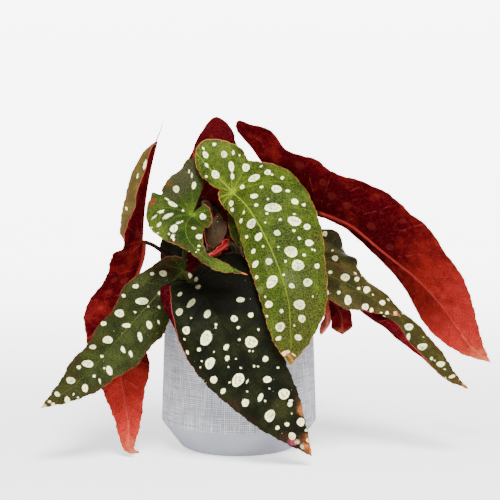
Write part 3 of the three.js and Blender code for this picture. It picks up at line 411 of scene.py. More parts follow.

# Spots measured on the photograph, four numbers each: picture place, length along the side veins
# and width, in pixels
SEEN_SPOTS = {
    "centre_leaf": """
        214.5 143.7 4.5 4  203.9 147 4.5 2.2  205.5 154.3 8 4.9  223.1 153.9 7.1 6.5
        233.1 152.3 6.3 2.7  239.4 154.6 2.7 2.2  231.9 165.9 11.2 5.5  205.9 164.8 5.8 3.1
        215.1 173.8 9.4 7.6  232 176.3 6.3 4  205.4 176 3.1 2.7  245.9 167 8 7.8  261 165.3 3 1.8
        267.5 171.7 7.1 5.4  272 173.8 2.7 2.5  253.7 177.6 12.5 6.7  241.9 186.4 4.9 4
        261.5 186.3 4 3  276.1 188.5 10.7 7.3  287.7 191.3 5.4 2.9  253.8 195 7.9 4.6
        282.5 177.8 3.6 3.6  267.3 198.8 3 2.5  256 204.1 4.3 3.6  272.1 207 16.5 9.6
        294.7 201.4 7.3 5.8  304.4 205 3.7 3.7  231 202.5 6.3 4.7  232.3 209 4 3.6
        243.9 211.3 4.5 2.2  266.2 213 3.4 2.5  279.8 218.7 3.4 3  294.7 220.9 13.4 8.9
        294.3 213.3 3.6 2  307.3 225.8 6.7 6  251 223.9 10.3 7.6  240.4 221.5 5.4 3.1  258.6 236 9.4 6
        276.4 232.1 7.1 5.4  293.8 229.7 3.6 3.1  299.5 237.8 3.6 3.4  309.7 241.8 8 6.7
        291.4 251.6 13 11.2  304.1 254.7 3.7 3.6  312.7 248.8 2.5 2.5  315.7 250 2.7 2.5
        245.9 237.4 3.7 2.9  252.8 251.4 5.4 4  262.6 247.2 2.7 2.5  254.8 264.6 8 5.4
        267.8 261.5 7 6.3  298.4 265.3 11.8 11.2  284.6 261 3 2.9  317.8 265.7 5.4 5.2
        278 246.5 2.9 2.1  265.1 222.6 2.2 2.2  255.7 277.3 4.6 3.4  284.4 273.9 2.9 2.9
        271 282.4 13.8 9.8  291.1 285.2 6.2 4.9  308.7 282.9 8.5 8.5  314 296.8 2.5 2.3
        264.6 296.1 2.5 2.2  268.2 303.9 8.2 6.6  299.3 303.9 11.6 9.4  280.5 311.4 4.3 3.9
        266 316.3 2.7 2.5  301.8 319.1 7.6 7.3  279 327.1 9.8 9.1  293.9 324.9 2.3 2.3
        277.9 338.8 6.2 4.3  297.9 338.5 7.1 6.2  285.4 354.1 11.2 4.5  293 355 6.2 2""",
    "left_leaf": """
        163.2 272.8 8.1 6.2  151.6 273.6 4.3 3.8  135.7 285.6 6.3 4.6  122.8 295.4 4 3.3
        141.9 301.1 12.4 7.2  119.2 312.6 9.8 7.3  103.1 323.2 5.9 4.8  125.7 324.8 8.6 4.4
        107 339.8 10.7 6.9  92.4 346.3 7.7 4.6  101.2 355.9 3.4 2.9  87.6 363 11 7.5  78.1 366.7 4.4 4
        70.2 379.8 8.7 7.2  85.7 387.5 8 6.2  94.8 375.5 3.1 3.1  109.6 369.8 9.8 5.8
        100.8 380.5 5.7 2.4  122.8 348.7 7.7 3.8  131.8 354 7 3.6  141 336.6 10.4 4.4
        148.9 323.9 9.3 5.2  159.2 322.4 5.5 2.2  158.9 307.6 4.3 2.4  159.7 292.5 4.3 2.9
        165.4 286.2 3.4 2.9  56.5 393.7 6 4.8  67.2 399 7.2 5.6  53.2 405.9 4.8 3.8
        48.7 401.4 3.8 2.9  73.9 393.4 2.4 2.2  78.7 396.3 2.1 2.1  103.7 367.7 2.3 2.2
        135 312.1 2.5 2.2  148.9 306.3 2.4 2.2""",
    "front_leaf": """
        195.5 279 5.4 4  197.9 286.4 6.7 4.5  179.6 293.8 5.8 3.6  190.8 302.9 11.6 5.4
        179.6 311.2 7.6 6.7  172.5 319.2 3.1 3.1  191.3 318 2.2 2.2  207.3 313.8 8.5 6.3
        239.7 299.1 8 5.4  233.9 317.9 6.9 6.7  250.6 314.1 5.4 5.2  185.9 329.7 8.9 8
        216.3 323.9 3.2 3  215.2 327 2.3 2.1  238.1 327.5 3.6 2.9  258.4 328.6 2.9 2.5
        184.1 338.6 3 3  207.1 338.4 15.6 10.7  252.2 342.7 13 11  238.6 340.2 2.9 2.7
        226.3 347 7.1 4.7  199.9 348.9 4.5 4  213.8 351.1 2 2  248.7 350.9 2.3 2.3
        253.5 351.1 1.8 1.8  187.9 352.2 5 4.7  227.6 357.1 5.6 4.6  210 362.1 12 9.1
        266.7 358.8 6 5.5  237 358.9 2.1 2.1  201.8 361.3 2 2  200.8 366.7 2 2  227.4 366.3 2 2
        241.4 367 2.5 2.5  253.1 366.3 2.5 2.5  256.9 366.7 2.1 2.1  278.3 367.9 3 2.5
        213.9 378.5 7.5 6.7  230.2 382.9 2.2 2.2  238.9 380.2 14.3 11.2  247.6 381 5 2
        267.9 380 8 6.8  223.8 391.9 6.3 4.7  247.4 390.9 2 2  260.8 396.3 9.7 4.3
        266.1 400.6 2.6 2.6  270.2 389 2 2  284.7 393.3 11.4 10  245 403.7 8.4 6.7  270.5 414.9 12 10
        291.6 399.6 4.6 2.5  290.8 404 5.1 4.5  292.7 414.2 2 2  278.1 426.9 4.7 3.9
        286 424.9 5.1 4.3  302 422.3 8 8  307.4 430.5 3.6 3.2  292.7 435.1 8 7.1  310 440.2 5 5
        240 262 0 0  228 270 0 0  215 265 0 0  205 275 0 0  222 290 0 0""",
    "left_centre_leaf": """
        192.2 175.7 5.5 2.5  189.3 170.3 5 2.2  193 184.9 7.8 4.5  175.4 188.6 7.3 6.4
        173.1 203.5 10.2 4.3  166.8 198.5 5 2  161.1 210.7 7.3 3.3  169 215.5 11.5 4
        154.5 216.8 7.2 2.2  183.7 210.3 2.6 2.5  158 224 6.4 3.4  151.6 227 2.5 1.8  157.4 232 3.3 2
        173.7 227.6 8.7 7  178.3 221.8 5.4 2.3  182.3 220.9 2 1.8  168.8 233 2.5 1.8
        173.4 235.6 6 3.3  174.4 239.7 3 2  203 216.1 6.2 6.2  193.9 227.4 4.6 2.9  198.7 236.1 7 5
        198.7 245 3.5 2  197.4 249.5 3 1.8  196.1 251.2 2 1.6""",
    "left_red_leaf": """
        144.5 165.6 11 3.4  136.5 176.3 5 3.2  135 196.1 11 5.4  125.5 208.8 3.8 3  126.9 227.9 5 2.4""",
    "right_leaf": """
        325.7 233.4 5.5 5  340.5 236.8 2.2 2  345.1 248 3 2.5  332.2 249.7 2.8 2.3
        322.8 245.1 2.6 2.2  335.9 257.5 6.3 5.8  409.1 326.1 8.9 6.8  408.7 336.4 7.4 3.6
        400 342.4 10.5 3  422.9 346.5 10 6.8  424.3 336.5 1.5 1.3  431.3 357.4 3.8 3
        435.3 360.2 2.4 1.8  440.9 363.4 9 5.4  445.6 368.8 3 2  425.8 361.7 9.5 2.2
        452.8 376.3 7.2 3.2  445.9 377.8 5.4 1.8  387.6 299 4.5 2.6  403.7 312.4 2.2 2""",
    "right_small_leaf": """
        330.7 271.6 4 3.3  345.4 276.2 9.2 7.4  357.1 278.5 5.2 4.5  358.6 287.6 3.2 2.8
        367.4 289.4 7.1 6.2  373.4 294.6 2 2  326.5 291.6 6 4.2  339.1 291.7 3.8 3.6  348 300 9.4 7.4
        365.9 306.6 6.8 6.4  371.3 309.1 4.3 4  381 312 2.7 2.4  382.2 301.7 5.8 5.3
        388.5 316.6 5.2 4  395.7 312.4 4.6 3.8  396.2 318.3 4.4 2.8""",
}

def smooth_at(points, t):
    """Smooth curve through points, at places t counted in list places."""
    p = np.asarray(points, float)
    t = np.clip(np.asarray(t, float), 0, len(p) - 1)
    i = np.minimum(t.astype(int), len(p) - 2)
    f = (t - i)[..., None]
    p1, p2 = p[i], p[i + 1]
    p0 = np.where((i > 0)[..., None], p[np.maximum(i - 1, 0)], 2 * p1 - p2)
    p3 = np.where((i < len(p) - 2)[..., None], p[np.minimum(i + 2, len(p) - 1)], 2 * p2 - p1)
    square = 2 * p0 - 5 * p1 + 4 * p2 - p3
    cube = 3 * p1 - p0 - 3 * p2 + p3
    return 0.5 * (2 * p1 + (p2 - p0) * f + square * f**2 + cube * f**3)


def smooth_number(values, t):
    return smooth_at(np.asarray(values, float)[:, None], t)[..., 0]


def unit(v):
    return v / np.maximum(np.linalg.norm(v, axis=-1, keepdims=True), 1e-12)


def arc_lengths(path):
    """Length along a path up to each of its points."""
    return np.concatenate([[0], np.cumsum(np.linalg.norm(np.diff(path, axis=0), axis=1))])


def along_path(path, arc, s):
    return np.stack([np.interp(s, arc, path[:, k]) for k in range(3)], -1)


def even_path(points, step):
    """Smooth path through points, sampled at even lengths of about step."""
    t = np.linspace(0, len(points) - 1, 40 * (len(points) - 1) + 1)
    path = smooth_at(points, t)
    arc = arc_lengths(path)
    count = max(int(round(arc[-1] / step)), 3)
    return along_path(path, arc, np.linspace(0, arc[-1], count + 1))


class LeafSurface:
    """Curved leaf surface: s runs along the midrib and w across it, positive on the wide half."""

    def __init__(self, spec):
        self.spec = spec
        rib = spec["rib"]
        self.path = smooth_at(rib, np.linspace(0, len(rib) - 1, 40 * (len(rib) - 1) + 1))
        self.arc = arc_lengths(self.path)
        self.length = self.arc[-1]
        self.wide_sign = 1.0 if spec["wide_side"] == "right" else -1.0
        self.reference = max(spec["wide"])

    def station(self, key, s):
        values = np.asarray(self.spec.get(key, [0, 0, 0]), float)
        share = np.clip(s / self.length, 0, 1)
        found = smooth_at(values.reshape(len(values), -1), share * (len(values) - 1))
        return found if values.ndim > 1 else found[..., 0]

    def by_half(self, key, s, wide):
        return np.where(wide, self.station(key + "_wide", s), self.station(key + "_narrow", s))

    def frame_at(self, s):
        """Point on the midrib or behind the stalk's end, with its upper-face and side directions."""
        s = np.asarray(s, float)
        on_rib = np.clip(s, 0, self.length)
        reach = self.length / 60
        ahead = along_path(self.path, self.arc, np.minimum(on_rib + reach, self.length))
        behind = along_path(self.path, self.arc, np.maximum(on_rib - reach, 0))
        tangent = unit(ahead - behind)
        face = self.station("face", on_rib)
        face = unit(face - (face * tangent).sum(-1, keepdims=True) * tangent)
        side = np.cross(tangent, face)
        back = np.maximum(-s, 0)
        bend = math.radians(self.spec["lobe_curl"]) / LOBE_CURL_LENGTH
        turned = bend * back
        run = np.sin(turned) / bend if bend else back
        rise = (1 - np.cos(turned)) / bend if bend else 0 * back
        centre = along_path(self.path, self.arc, on_rib)
        centre = centre - tangent * run[..., None] + face * rise[..., None]
        up = face * np.cos(turned)[..., None] + tangent * np.sin(turned)[..., None]
        return centre, up, side

    def point(self, s, w, share):
        """Point of the surface, where share is how far out it lies between midrib and margin."""
        centre, up, side = self.frame_at(s)
        wide = w >= 0
        span = np.abs(w)
        ease = np.clip((s - FLAT_LOBE_END) / (FULL_FOLD_START - FLAT_LOBE_END), 0, 1)
        kept = self.spec.get("lobe_fold", 0)
        ease = kept + (1 - kept) * ease**2 * (3 - 2 * ease)
        fold = np.radians(self.by_half("fold", s, wide)) * ease
        curl = np.radians(self.by_half("curl", s, wide)) / self.reference
        curl = np.where(np.abs(curl) < 1e-6, 1e-6, curl)
        rolled = self.spec.get("roll_share", ROLL_SHARE)
        inner = span * (1 - rolled) / np.maximum(share, 1e-6)
        even = np.where(share > 1 - rolled, inner, span)
        at_roll = fold + curl * even
        out = (np.sin(at_roll) - np.sin(fold)) / curl
        lift = -(np.cos(at_roll) - np.cos(fold)) / curl
        full = np.maximum(even * rolled / (1 - rolled), 1e-6)
        roll = curl + np.radians(self.by_half("roll", s, wide)) / full
        roll = np.where(np.abs(roll) < 1e-6, 1e-6, roll)
        turned = at_roll + roll * (span - even)
        out = out + (np.sin(turned) - np.sin(at_roll)) / roll
        lift = lift - (np.cos(turned) - np.cos(at_roll)) / roll
        height, count, phase = self.spec["wave"]
        along = (s - VEIN_LEAN * span) / self.length
        shift = phase + np.where(wide, 0, NARROW_WAVE_SHIFT)
        lift = lift + height * (span / self.reference) ** 2 * np.sin(2 * np.pi * (count * along + shift))
        sign = np.where(wide, 1.0, -1.0) * self.wide_sign
        return centre + side * (sign * out)[..., None] + up * lift[..., None]

    def half_width(self, s, half):
        widths = [self.spec["lobe_" + half][0][1], *self.spec[half], 0]
        place = np.interp(np.asarray(s) / self.length, WIDTH_STATIONS, np.arange(len(widths)))
        return np.maximum(smooth_number(widths, place), 0)

    def rows(self, half, step):
        """Rows from the tip to the stalk's end and round the lobe: foot, margin s and w, and vein phase."""
        count = max(int(self.length / step), 12)
        i = np.arange(1, count + 1)
        foot = self.length * (1 - i / count)
        near_tip = self.length * (1 - 0.25 * i / count**2)
        s = np.minimum(foot + VEIN_LEAN * self.half_width(foot, half), near_tip)
        w = self.half_width(s, half)
        start = math.degrees(math.atan2(w[-1], s[-1]))
        lobe = self.spec["lobe_" + half]
        angles = [start] + [pair[0] for pair in lobe]
        radii = [math.hypot(s[-1], w[-1])] + [pair[1] for pair in lobe]
        sweep = angles[-1] - start
        turns = max(int(math.radians(sweep) * np.mean(radii) / step), 6)
        angle = start + sweep * np.arange(1, turns + 1) / turns
        radius = smooth_number(radii, np.interp(angle, angles, np.arange(len(angles))))
        spacing = max(self.length / VEINS_PER_LEAF, LEAST_VEIN_SPACING)
        phase = np.concatenate([foot / spacing, -(angle - start) / VEIN_ANGLE])
        foot = np.concatenate([foot, np.zeros(turns)])
        s = np.concatenate([s, radius * np.cos(np.radians(angle))])
        w = np.concatenate([w, radius * np.sin(np.radians(angle))])
        return count, foot, s, w, phase, spacing


def leaf_grid(surface, step, seed):
    """Middle surface of a blade: flat places, attributes and triangles facing the upper side."""
    tip_row = {"s": [surface.length], "w": [0.0], "share": [0.0], "reach": [0.0], "phase": [0.0]}
    table = {key: [np.array(value)] for key, value in tip_row.items()}
    columns = max(int(max(surface.spec["wide"] + surface.spec["narrow"]) * 1.16 / step), 6)
    share = np.arange(1, columns + 1) / columns
    triangles = []
    count, foot, _, _, _, spacing = surface.rows("wide", step)
    rib = np.arange(1, count + 1)
    foot = foot[:count]
    table["s"].append(foot)
    table["phase"].append(foot / spacing)
    for key in ("w", "share", "reach"):
        table[key].append(np.zeros(count))
    total = count + 1
    for half, sign in (("wide", 1.0), ("narrow", -1.0)):
        _, foot, s, w, phase, _ = surface.rows(half, step)
        rows = len(foot)
        reach = np.hypot(s - foot, w)
        table["s"].append((foot[:, None] + (s - foot)[:, None] * share).ravel())
        table["w"].append((sign * w[:, None] * share).ravel())
        table["share"].append(np.tile(share, rows))
        table["reach"].append(np.repeat(reach, columns))
        table["phase"].append(np.repeat(phase, columns))
        base = rib[np.minimum(np.arange(rows), count - 1)]
        grid = np.column_stack([base, total + np.arange(rows * columns).reshape(rows, columns)])
        total += rows * columns
        lines = np.vstack([np.zeros(columns + 1, int), grid])
        a, b = lines[:-1, :-1].ravel(), lines[:-1, 1:].ravel()
        d, c = lines[1:, :-1].ravel(), lines[1:, 1:].ravel()
        faces = np.concatenate([np.stack([a, b, c], 1), np.stack([a, c, d], 1)])
        triangles.append(faces[:, ::-1] if sign * surface.wide_sign > 0 else faces)
    flat = {key: np.concatenate(value) for key, value in table.items()}
    triangles = np.concatenate(triangles)
    distinct = (np.diff(np.sort(triangles, 1), axis=1) > 0).all(1)
    flat["triangles"] = triangles[distinct]
    flat["spacing"] = spacing
    in_lobe = flat["phase"] < 0
    radius = np.hypot(flat["s"], flat["w"])
    flat["pitch"] = np.where(in_lobe, radius * math.radians(VEIN_ANGLE), 0.86 * spacing)
    flat["edge"] = flat["reach"] * (1 - flat["share"])
    rng = np.random.default_rng(seed)
    waves = rng.uniform(0, 2 * np.pi, 3)
    rough = np.sin(flat["phase"] * 9.1 + waves[0]) + 0.7 * np.sin(flat["phase"] * 21.7 + waves[1])
    rough = rough + 0.5 * np.sin(flat["phase"] * 43.3 + waves[2])
    flat["ragged"] = 0.35 * rough * flat["share"] ** 6
    return flat


def grid_points(surface, flat):
    """Places of the middle surface, with a slightly ragged margin and low swellings between the veins."""
    w = flat["w"] + np.sign(flat["w"]) * flat["ragged"]
    points = surface.point(flat["s"], w, flat["share"])
    normals = vertex_normals(points, flat["triangles"])
    between = np.abs(np.sin(np.pi * flat["phase"]))
    near_rib = np.clip(np.abs(flat["w"]) / 5, 0, 1)
    room = np.clip(flat["pitch"] / 12, 0, 1)
    swell = PUCKER * between * near_rib * room * (1 - flat["share"] ** 4)
    return points + normals * swell[:, None]


def vertex_normals(points, triangles):
    a, b, c = (points[triangles[:, k]] for k in range(3))
    face = np.cross(b - a, c - a)
    normals = np.zeros_like(points)
    for k in range(3):
        np.add.at(normals, triangles[:, k], face)
    return unit(normals)


def border_edges(triangles):
    """Directed edges that only one triangle has."""
    edges = np.concatenate([triangles[:, [0, 1]], triangles[:, [1, 2]], triangles[:, [2, 0]]])
    size = triangles.max() + 1
    code = edges[:, 0] * size + edges[:, 1]
    back = edges[:, 1] * size + edges[:, 0]
    return edges[~np.isin(code, back)]


def ring_faces(rings, sides):
    """Triangles between rings of vertices that follow one another."""
    ring = np.arange(rings - 1)[:, None] * sides
    k = np.arange(sides)[None, :]
    a = (ring + k).ravel()
    b = (ring + (k + 1) % sides).ravel()
    return np.concatenate([np.stack([a, b, b + sides], 1), np.stack([a, b + sides, a + sides], 1)])


def tube(points, radii, sides):
    """Closed tube through points with a radius for each: vertices, triangles and the length along it."""
    points = np.asarray(points, float)
    tangents = unit(np.gradient(points, axis=0))
    across = np.array(TUBE_START_SIDE)
    turns = 2 * np.pi * np.arange(sides) / sides
    rings = []
    for point, tangent, radius in zip(points, tangents, radii):
        across = unit(across - (across @ tangent) * tangent)
        other = np.cross(tangent, across)
        rings.append(point + radius * (np.cos(turns)[:, None] * across + np.sin(turns)[:, None] * other))
    vertices = np.vstack([*rings, points[0], points[-1]])
    last = len(points) * sides
    k = np.arange(sides)
    n = (k + 1) % sides
    end = last - sides
    first_cap = np.stack([n, k, np.full(sides, last)], 1)
    last_cap = np.stack([end + k, end + n, np.full(sides, last + 1)], 1)
    faces = np.concatenate([ring_faces(len(points), sides), first_cap, last_cap])
    arc = arc_lengths(points)
    return vertices, faces, np.concatenate([np.repeat(arc, sides), [0, arc[-1]]])


def lathe(profile, sides):
    """Turned shape from [radius, height] pairs, open at neither end when they start and end on the axis."""
    profile = np.asarray(profile, float)
    turns = 2 * np.pi * np.arange(sides) / sides
    vertices = np.stack([
        (profile[:, 0][:, None] * np.cos(turns)).ravel(),
        (profile[:, 0][:, None] * np.sin(turns)).ravel(),
        np.repeat(profile[:, 1], sides),
    ], 1)
    first = {}
    keep = np.arange(len(vertices))
    for i, corner in enumerate(map(tuple, np.round(vertices, 6))):
        keep[i] = first.setdefault(corner, i)
    faces = keep[ring_faces(len(profile), sides)]
    distinct = (np.diff(np.sort(faces, 1), axis=1) > 0).all(1)
    return vertices, faces[distinct]


def rounded_profile(corners, radius, steps):
    """Profile whose inner corners are rounded off."""
    corners = [np.array(c, float) for c in corners]
    profile = [corners[0]]
    for before, corner, after in zip(corners, corners[1:], corners[2:]):
        to_before, to_after = before - corner, after - corner
        cut = min(radius, 0.45 * np.linalg.norm(to_before), 0.45 * np.linalg.norm(to_after))
        start = corner + unit(to_before) * cut
        end = corner + unit(to_after) * cut
        for t in np.linspace(0, 1, steps):
            profile.append((1 - t) ** 2 * start + 2 * t * (1 - t) * corner + t**2 * end)
    profile.append(corners[-1])
    return profile


def new_object(name, vertices, triangles, materials, material_of=None, attributes=None, sharp=None):
    """Blender mesh object from places in millimetres."""
    mesh = bpy.data.meshes.new(name)
    used = np.unique(triangles)
    place = np.full(len(vertices), -1)
    place[used] = np.arange(len(used))
    vertices = np.asarray(vertices)[used]
    triangles = place[triangles]
    mesh.vertices.add(len(vertices))
    mesh.vertices.foreach_set("co", (vertices / 1000).astype(np.float32).ravel())
    mesh.loops.add(triangles.size)
    mesh.loops.foreach_set("vertex_index", triangles.astype(np.int32).ravel())
    mesh.polygons.add(len(triangles))
    mesh.polygons.foreach_set("loop_start", np.arange(0, triangles.size, 3, dtype=np.int32))
    for material in materials:
        mesh.materials.append(material)
    if material_of is not None:
        mesh.polygons.foreach_set("material_index", material_of.astype(np.int32))
    mesh.update(calc_edges=True)
    mesh.polygons.foreach_set("use_smooth", np.ones(len(triangles), bool))
    for key, values in (attributes or {}).items():
        values = np.asarray(values, np.float32)[used]
        kind = "FLOAT_VECTOR" if values.ndim == 2 else "FLOAT"
        layer = mesh.attributes.new(key, kind, "POINT")
        layer.data.foreach_set("vector" if values.ndim == 2 else "value", values.ravel())
    if sharp is not None:
        ends = np.zeros(len(mesh.edges) * 2, np.int32)
        mesh.edges.foreach_get("vertices", ends)
        ends = np.sort(ends.reshape(-1, 2), 1).astype(np.int64)
        wanted = np.sort(place[sharp], 1).astype(np.int64)
        size = len(vertices)
        is_sharp = np.isin(ends[:, 0] * size + ends[:, 1], wanted[:, 0] * size + wanted[:, 1])
        layer = mesh.attributes.new("sharp_edge", "BOOLEAN", "EDGE")
        layer.data.foreach_set("value", is_sharp)
    mesh.validate()
    piece = bpy.data.objects.new(name, mesh)
    bpy.context.scene.collection.objects.link(piece)
    return piece

def colour(rgb):
    """Linear colour of a 0-255 screen colour."""
    share = np.asarray(rgb, float) / 255
    linear = np.where(share <= 0.04045, share / 12.92, ((share + 0.055) / 1.055) ** 2.4)
    return (*linear, 1.0)


class Shader:
    """Node material with the few kinds of node that these looks use."""

    def __init__(self, name, roughness, **fixed):
        self.material = bpy.data.materials.new(name)
        self.material.use_nodes = True
        self.tree = self.material.node_tree
        self.bsdf = self.tree.nodes["Principled BSDF"]
        self.bsdf.inputs["Roughness"].default_value = roughness
        for key, value in fixed.items():
            self.bsdf.inputs[key.replace("_", " ")].default_value = value

    def node(self, kind, **settings):
        node = self.tree.nodes.new("ShaderNode" + kind)
        for key, value in settings.items():
            setattr(node, key, value)
        return node

    def feed(self, socket, value):
        if isinstance(value, bpy.types.NodeSocket):
            self.tree.links.new(value, socket)
        else:
            socket.default_value = value

    def math(self, operation, *values, clamp=False):
        node = self.node("Math", operation=operation, use_clamp=clamp)
        for socket, value in zip(node.inputs, values):
            self.feed(socket, value)
        return node.outputs[0]

    def add(self, a, b):
        return self.math("ADD", a, b)

    def times(self, a, b):
        return self.math("MULTIPLY", a, b)

    def minus(self, a, b):
        return self.math("SUBTRACT", a, b)

    def larger(self, a, b):
        return self.math("MAXIMUM", a, b)

    def total(self, *terms):
        """Sum of values, each times its weight."""
        total = self.times(*terms[0])
        for term in terms[1:]:
            total = self.add(total, self.times(*term))
        return total

    def start(self, share, a, b):
        """Starts the base colour between two 0-255 colours."""
        self.base = self.mix(share, colour(a), colour(b))

    def paint(self, share, tone):
        """Lays a 0-255 colour or a socket's colour over the base."""
        if not isinstance(tone, bpy.types.NodeSocket):
            tone = colour(tone)
        self.base = self.mix(share, self.base, tone)

    def mix(self, share, a, b):
        node = self.node("Mix", data_type="RGBA")
        self.feed(node.inputs[0], share)
        self.feed(node.inputs[6], a)
        self.feed(node.inputs[7], b)
        return node.outputs[2]

    def ease(self, value, low, high, at_low=0.0, at_high=1.0):
        """Smooth change from at_low to at_high as value goes from low to high."""
        node = self.node("MapRange", interpolation_type="SMOOTHSTEP")
        for socket, given in zip(node.inputs, (value, low, high, at_low, at_high)):
            self.feed(socket, given)
        return node.outputs[0]

    def number(self, name):
        return self.node("Attribute", attribute_name=name).outputs["Fac"]

    def place(self, name):
        return self.node("Attribute", attribute_name=name).outputs["Vector"]

    def colour_at(self, name):
        return self.node("Attribute", attribute_name=name).outputs["Color"]

    def stretched(self, vector, scale):
        node = self.node("Mapping")
        self.feed(node.inputs["Vector"], vector)
        node.inputs["Scale"].default_value = scale
        return node.outputs[0]

    def noise(self, vector, scale, detail=2.0, roughness=0.5):
        node = self.node("TexNoise")
        self.feed(node.inputs["Vector"], vector)
        node.inputs["Scale"].default_value = scale
        node.inputs["Detail"].default_value = detail
        node.inputs["Roughness"].default_value = roughness
        return node.outputs["Fac"]

    def cells(self, vector, scale, feature="F1"):
        node = self.node("TexVoronoi", feature=feature)
        self.feed(node.inputs["Vector"], vector)
        node.inputs["Scale"].default_value = scale
        return node.outputs["Distance"]

    def finish(self, height=None, reach=None, roughness=None):
        self.feed(self.bsdf.inputs["Base Color"], self.base)
        if roughness is not None:
            self.feed(self.bsdf.inputs["Roughness"], roughness)
        if height is not None:
            bump = self.node("Bump")
            bump.inputs["Distance"].default_value = reach
            self.feed(bump.inputs["Height"], height)
            self.tree.links.new(bump.outputs[0], self.bsdf.inputs["Normal"])
        return self.material


def vein_line(look, width):
    """1 on the side veins and 0 a little away from them."""
    phase = look.number("phase")
    near = look.math("ABSOLUTE", look.minus(look.math("FRACT", look.add(phase, 0.5)), 0.5))
    away = look.times(near, look.number("pitch"))
    return look.ease(away, 0.0, width, 1.0, 0.0)


def upper_material(name, deep, fresh, warm, glow, veins, rim, spot_shade):
    """Green upper side with silvery spots, fine paler veins and a thin tan margin."""
    look = Shader(name, 0.5, Specular_IOR_Level=0.06, IOR=1.3)
    flat = look.place("flat")
    broad = look.noise(flat, 0.05, 3.0, 0.55)
    patchy = look.noise(flat, 0.16, 3.0, 0.6)
    fine = look.noise(flat, 0.9, 3.0, 0.6)
    edge = look.number("edge")
    along = look.number("along")
    look.start(look.ease(broad, 0.38, 0.62), deep, fresh)
    look.paint(look.ease(patchy, 0.42, 0.62, 0.0, 0.75), deep)
    side = look.times(look.ease(edge, 0.0, 9.0, 0.7, 0.0), look.ease(broad, 0.35, 0.6, 1.0, 0.25))
    tip = look.times(look.ease(along, 0.7, 1.0, 0.0, 0.7), look.ease(patchy, 0.3, 0.6, 1.0, 0.5))
    look.paint(look.larger(side, tip), warm)
    # Casts laid over the base: the leaves' own tints, and painted shade and painted sheen where the cast
    # lists put them.
    uneven = look.add(look.number("cast_share"), look.ease(patchy, 0.3, 0.7, -0.15, 0.15))
    cast = look.ease(uneven, 0.15, 0.75)
    look.paint(cast, look.colour_at("cast"))
    lines = vein_line(look, 0.8)
    from_stalk = look.number("from_stalk")
    broken = look.ease(patchy, 0.35, 0.6, 0.35, 1.0)
    fading = look.times(look.ease(from_stalk, 8.0, 90.0, veins, 0.35 * veins), broken)
    look.paint(look.times(lines, fading), glow)
    rays = look.times(vein_line(look, 1.8), look.ease(from_stalk, 3.0, 26.0, 1.1 * veins, 0.0))
    look.paint(rays, glow)
    rib = look.ease(look.number("across"), 0.2, 0.8, 1.0, 0.0)
    look.paint(look.times(rib, look.ease(from_stalk, 30.0, 120.0, 2.4 * veins, veins)), glow)
    look.paint(look.ease(from_stalk, 1.0, 5.0, 0.8, 0.0), glow)
    netted = look.ease(look.cells(flat, 0.5, "DISTANCE_TO_EDGE"), 0.02, 0.22, 1.0, 0.0)
    look.paint(look.times(netted, 0.16), glow)
    look.paint(look.ease(fine, 0.4, 0.62, 0.0, 0.7), deep)
    spot = look.add(look.number("spot"), look.ease(fine, 0.3, 0.7, -0.25, 0.25))
    silver = look.ease(spot, -0.4, 0.15, 1.0, 0.0)
    halo = look.ease(spot, 0.0, 1.3, 0.35, 0.0)
    look.paint(halo, deep)
    speck = look.cells(flat, 0.3)
    speck_size = look.ease(look.noise(flat, 0.16, 1.0), 0.5, 0.66, 0.0, 0.1)
    specks = look.ease(look.minus(speck, speck_size), -0.05, 0.02, 0.6, 0.0)
    silver = look.larger(silver, specks)
    grain = look.noise(flat, 0.55, 2.0, 0.7)
    inside = look.ease(look.number("spot"), -1.8, -0.7, 1.0, 0.2)
    stipple = look.times(look.ease(grain, 0.44, 0.56), inside)
    pale = look.mix(look.times(stipple, 0.85), colour((248, 245, 186)), colour((112, 124, 66)))
    # Spots are darkened towards the stalk: painted shade.
    pale = look.mix(look.ease(from_stalk, 22.0, 58.0, spot_shade, 0.0), pale, colour((70, 58, 48)))
    pale = look.mix(look.ease(along, 0.82, 0.98), pale, colour((226, 190, 142)))
    # Spots take on part of the cast colour, so painted shade darkens them too.
    pale = look.mix(look.times(cast, 0.35), pale, look.colour_at("cast"))
    look.paint(look.times(silver, 0.96), pale)
    margin = look.ease(look.add(edge, look.ease(patchy, 0.35, 0.65, -0.3, 0.25)), 0.05, 0.5, 0.75, 0.0)
    look.paint(margin, rim)
    in_lobe = look.ease(look.number("phase"), -1.2, -0.6, 1.0, 0.0)
    dry_rim = look.times(look.ease(edge, 0.4, 0.9, 1.0, 0.0), in_lobe)
    look.paint(look.times(dry_rim, look.ease(patchy, 0.3, 0.6, 0.2, 0.9)), rim)
    burnt = look.ease(look.add(along, look.ease(patchy, 0.3, 0.7, -0.06, 0.06)), 0.965, 1.0)
    look.paint(look.times(burnt, look.ease(fine, 0.3, 0.55, 0.5, 1.0)), (150, 88, 42))
    height = look.total((lines, -0.4), (rib, -0.45), (netted, -0.15), (grain, 0.2), (silver, 0.14))
    rough = look.ease(fine, 0.2, 0.8, 0.45, 0.6)
    return look.finish(height, 0.0007, rough)


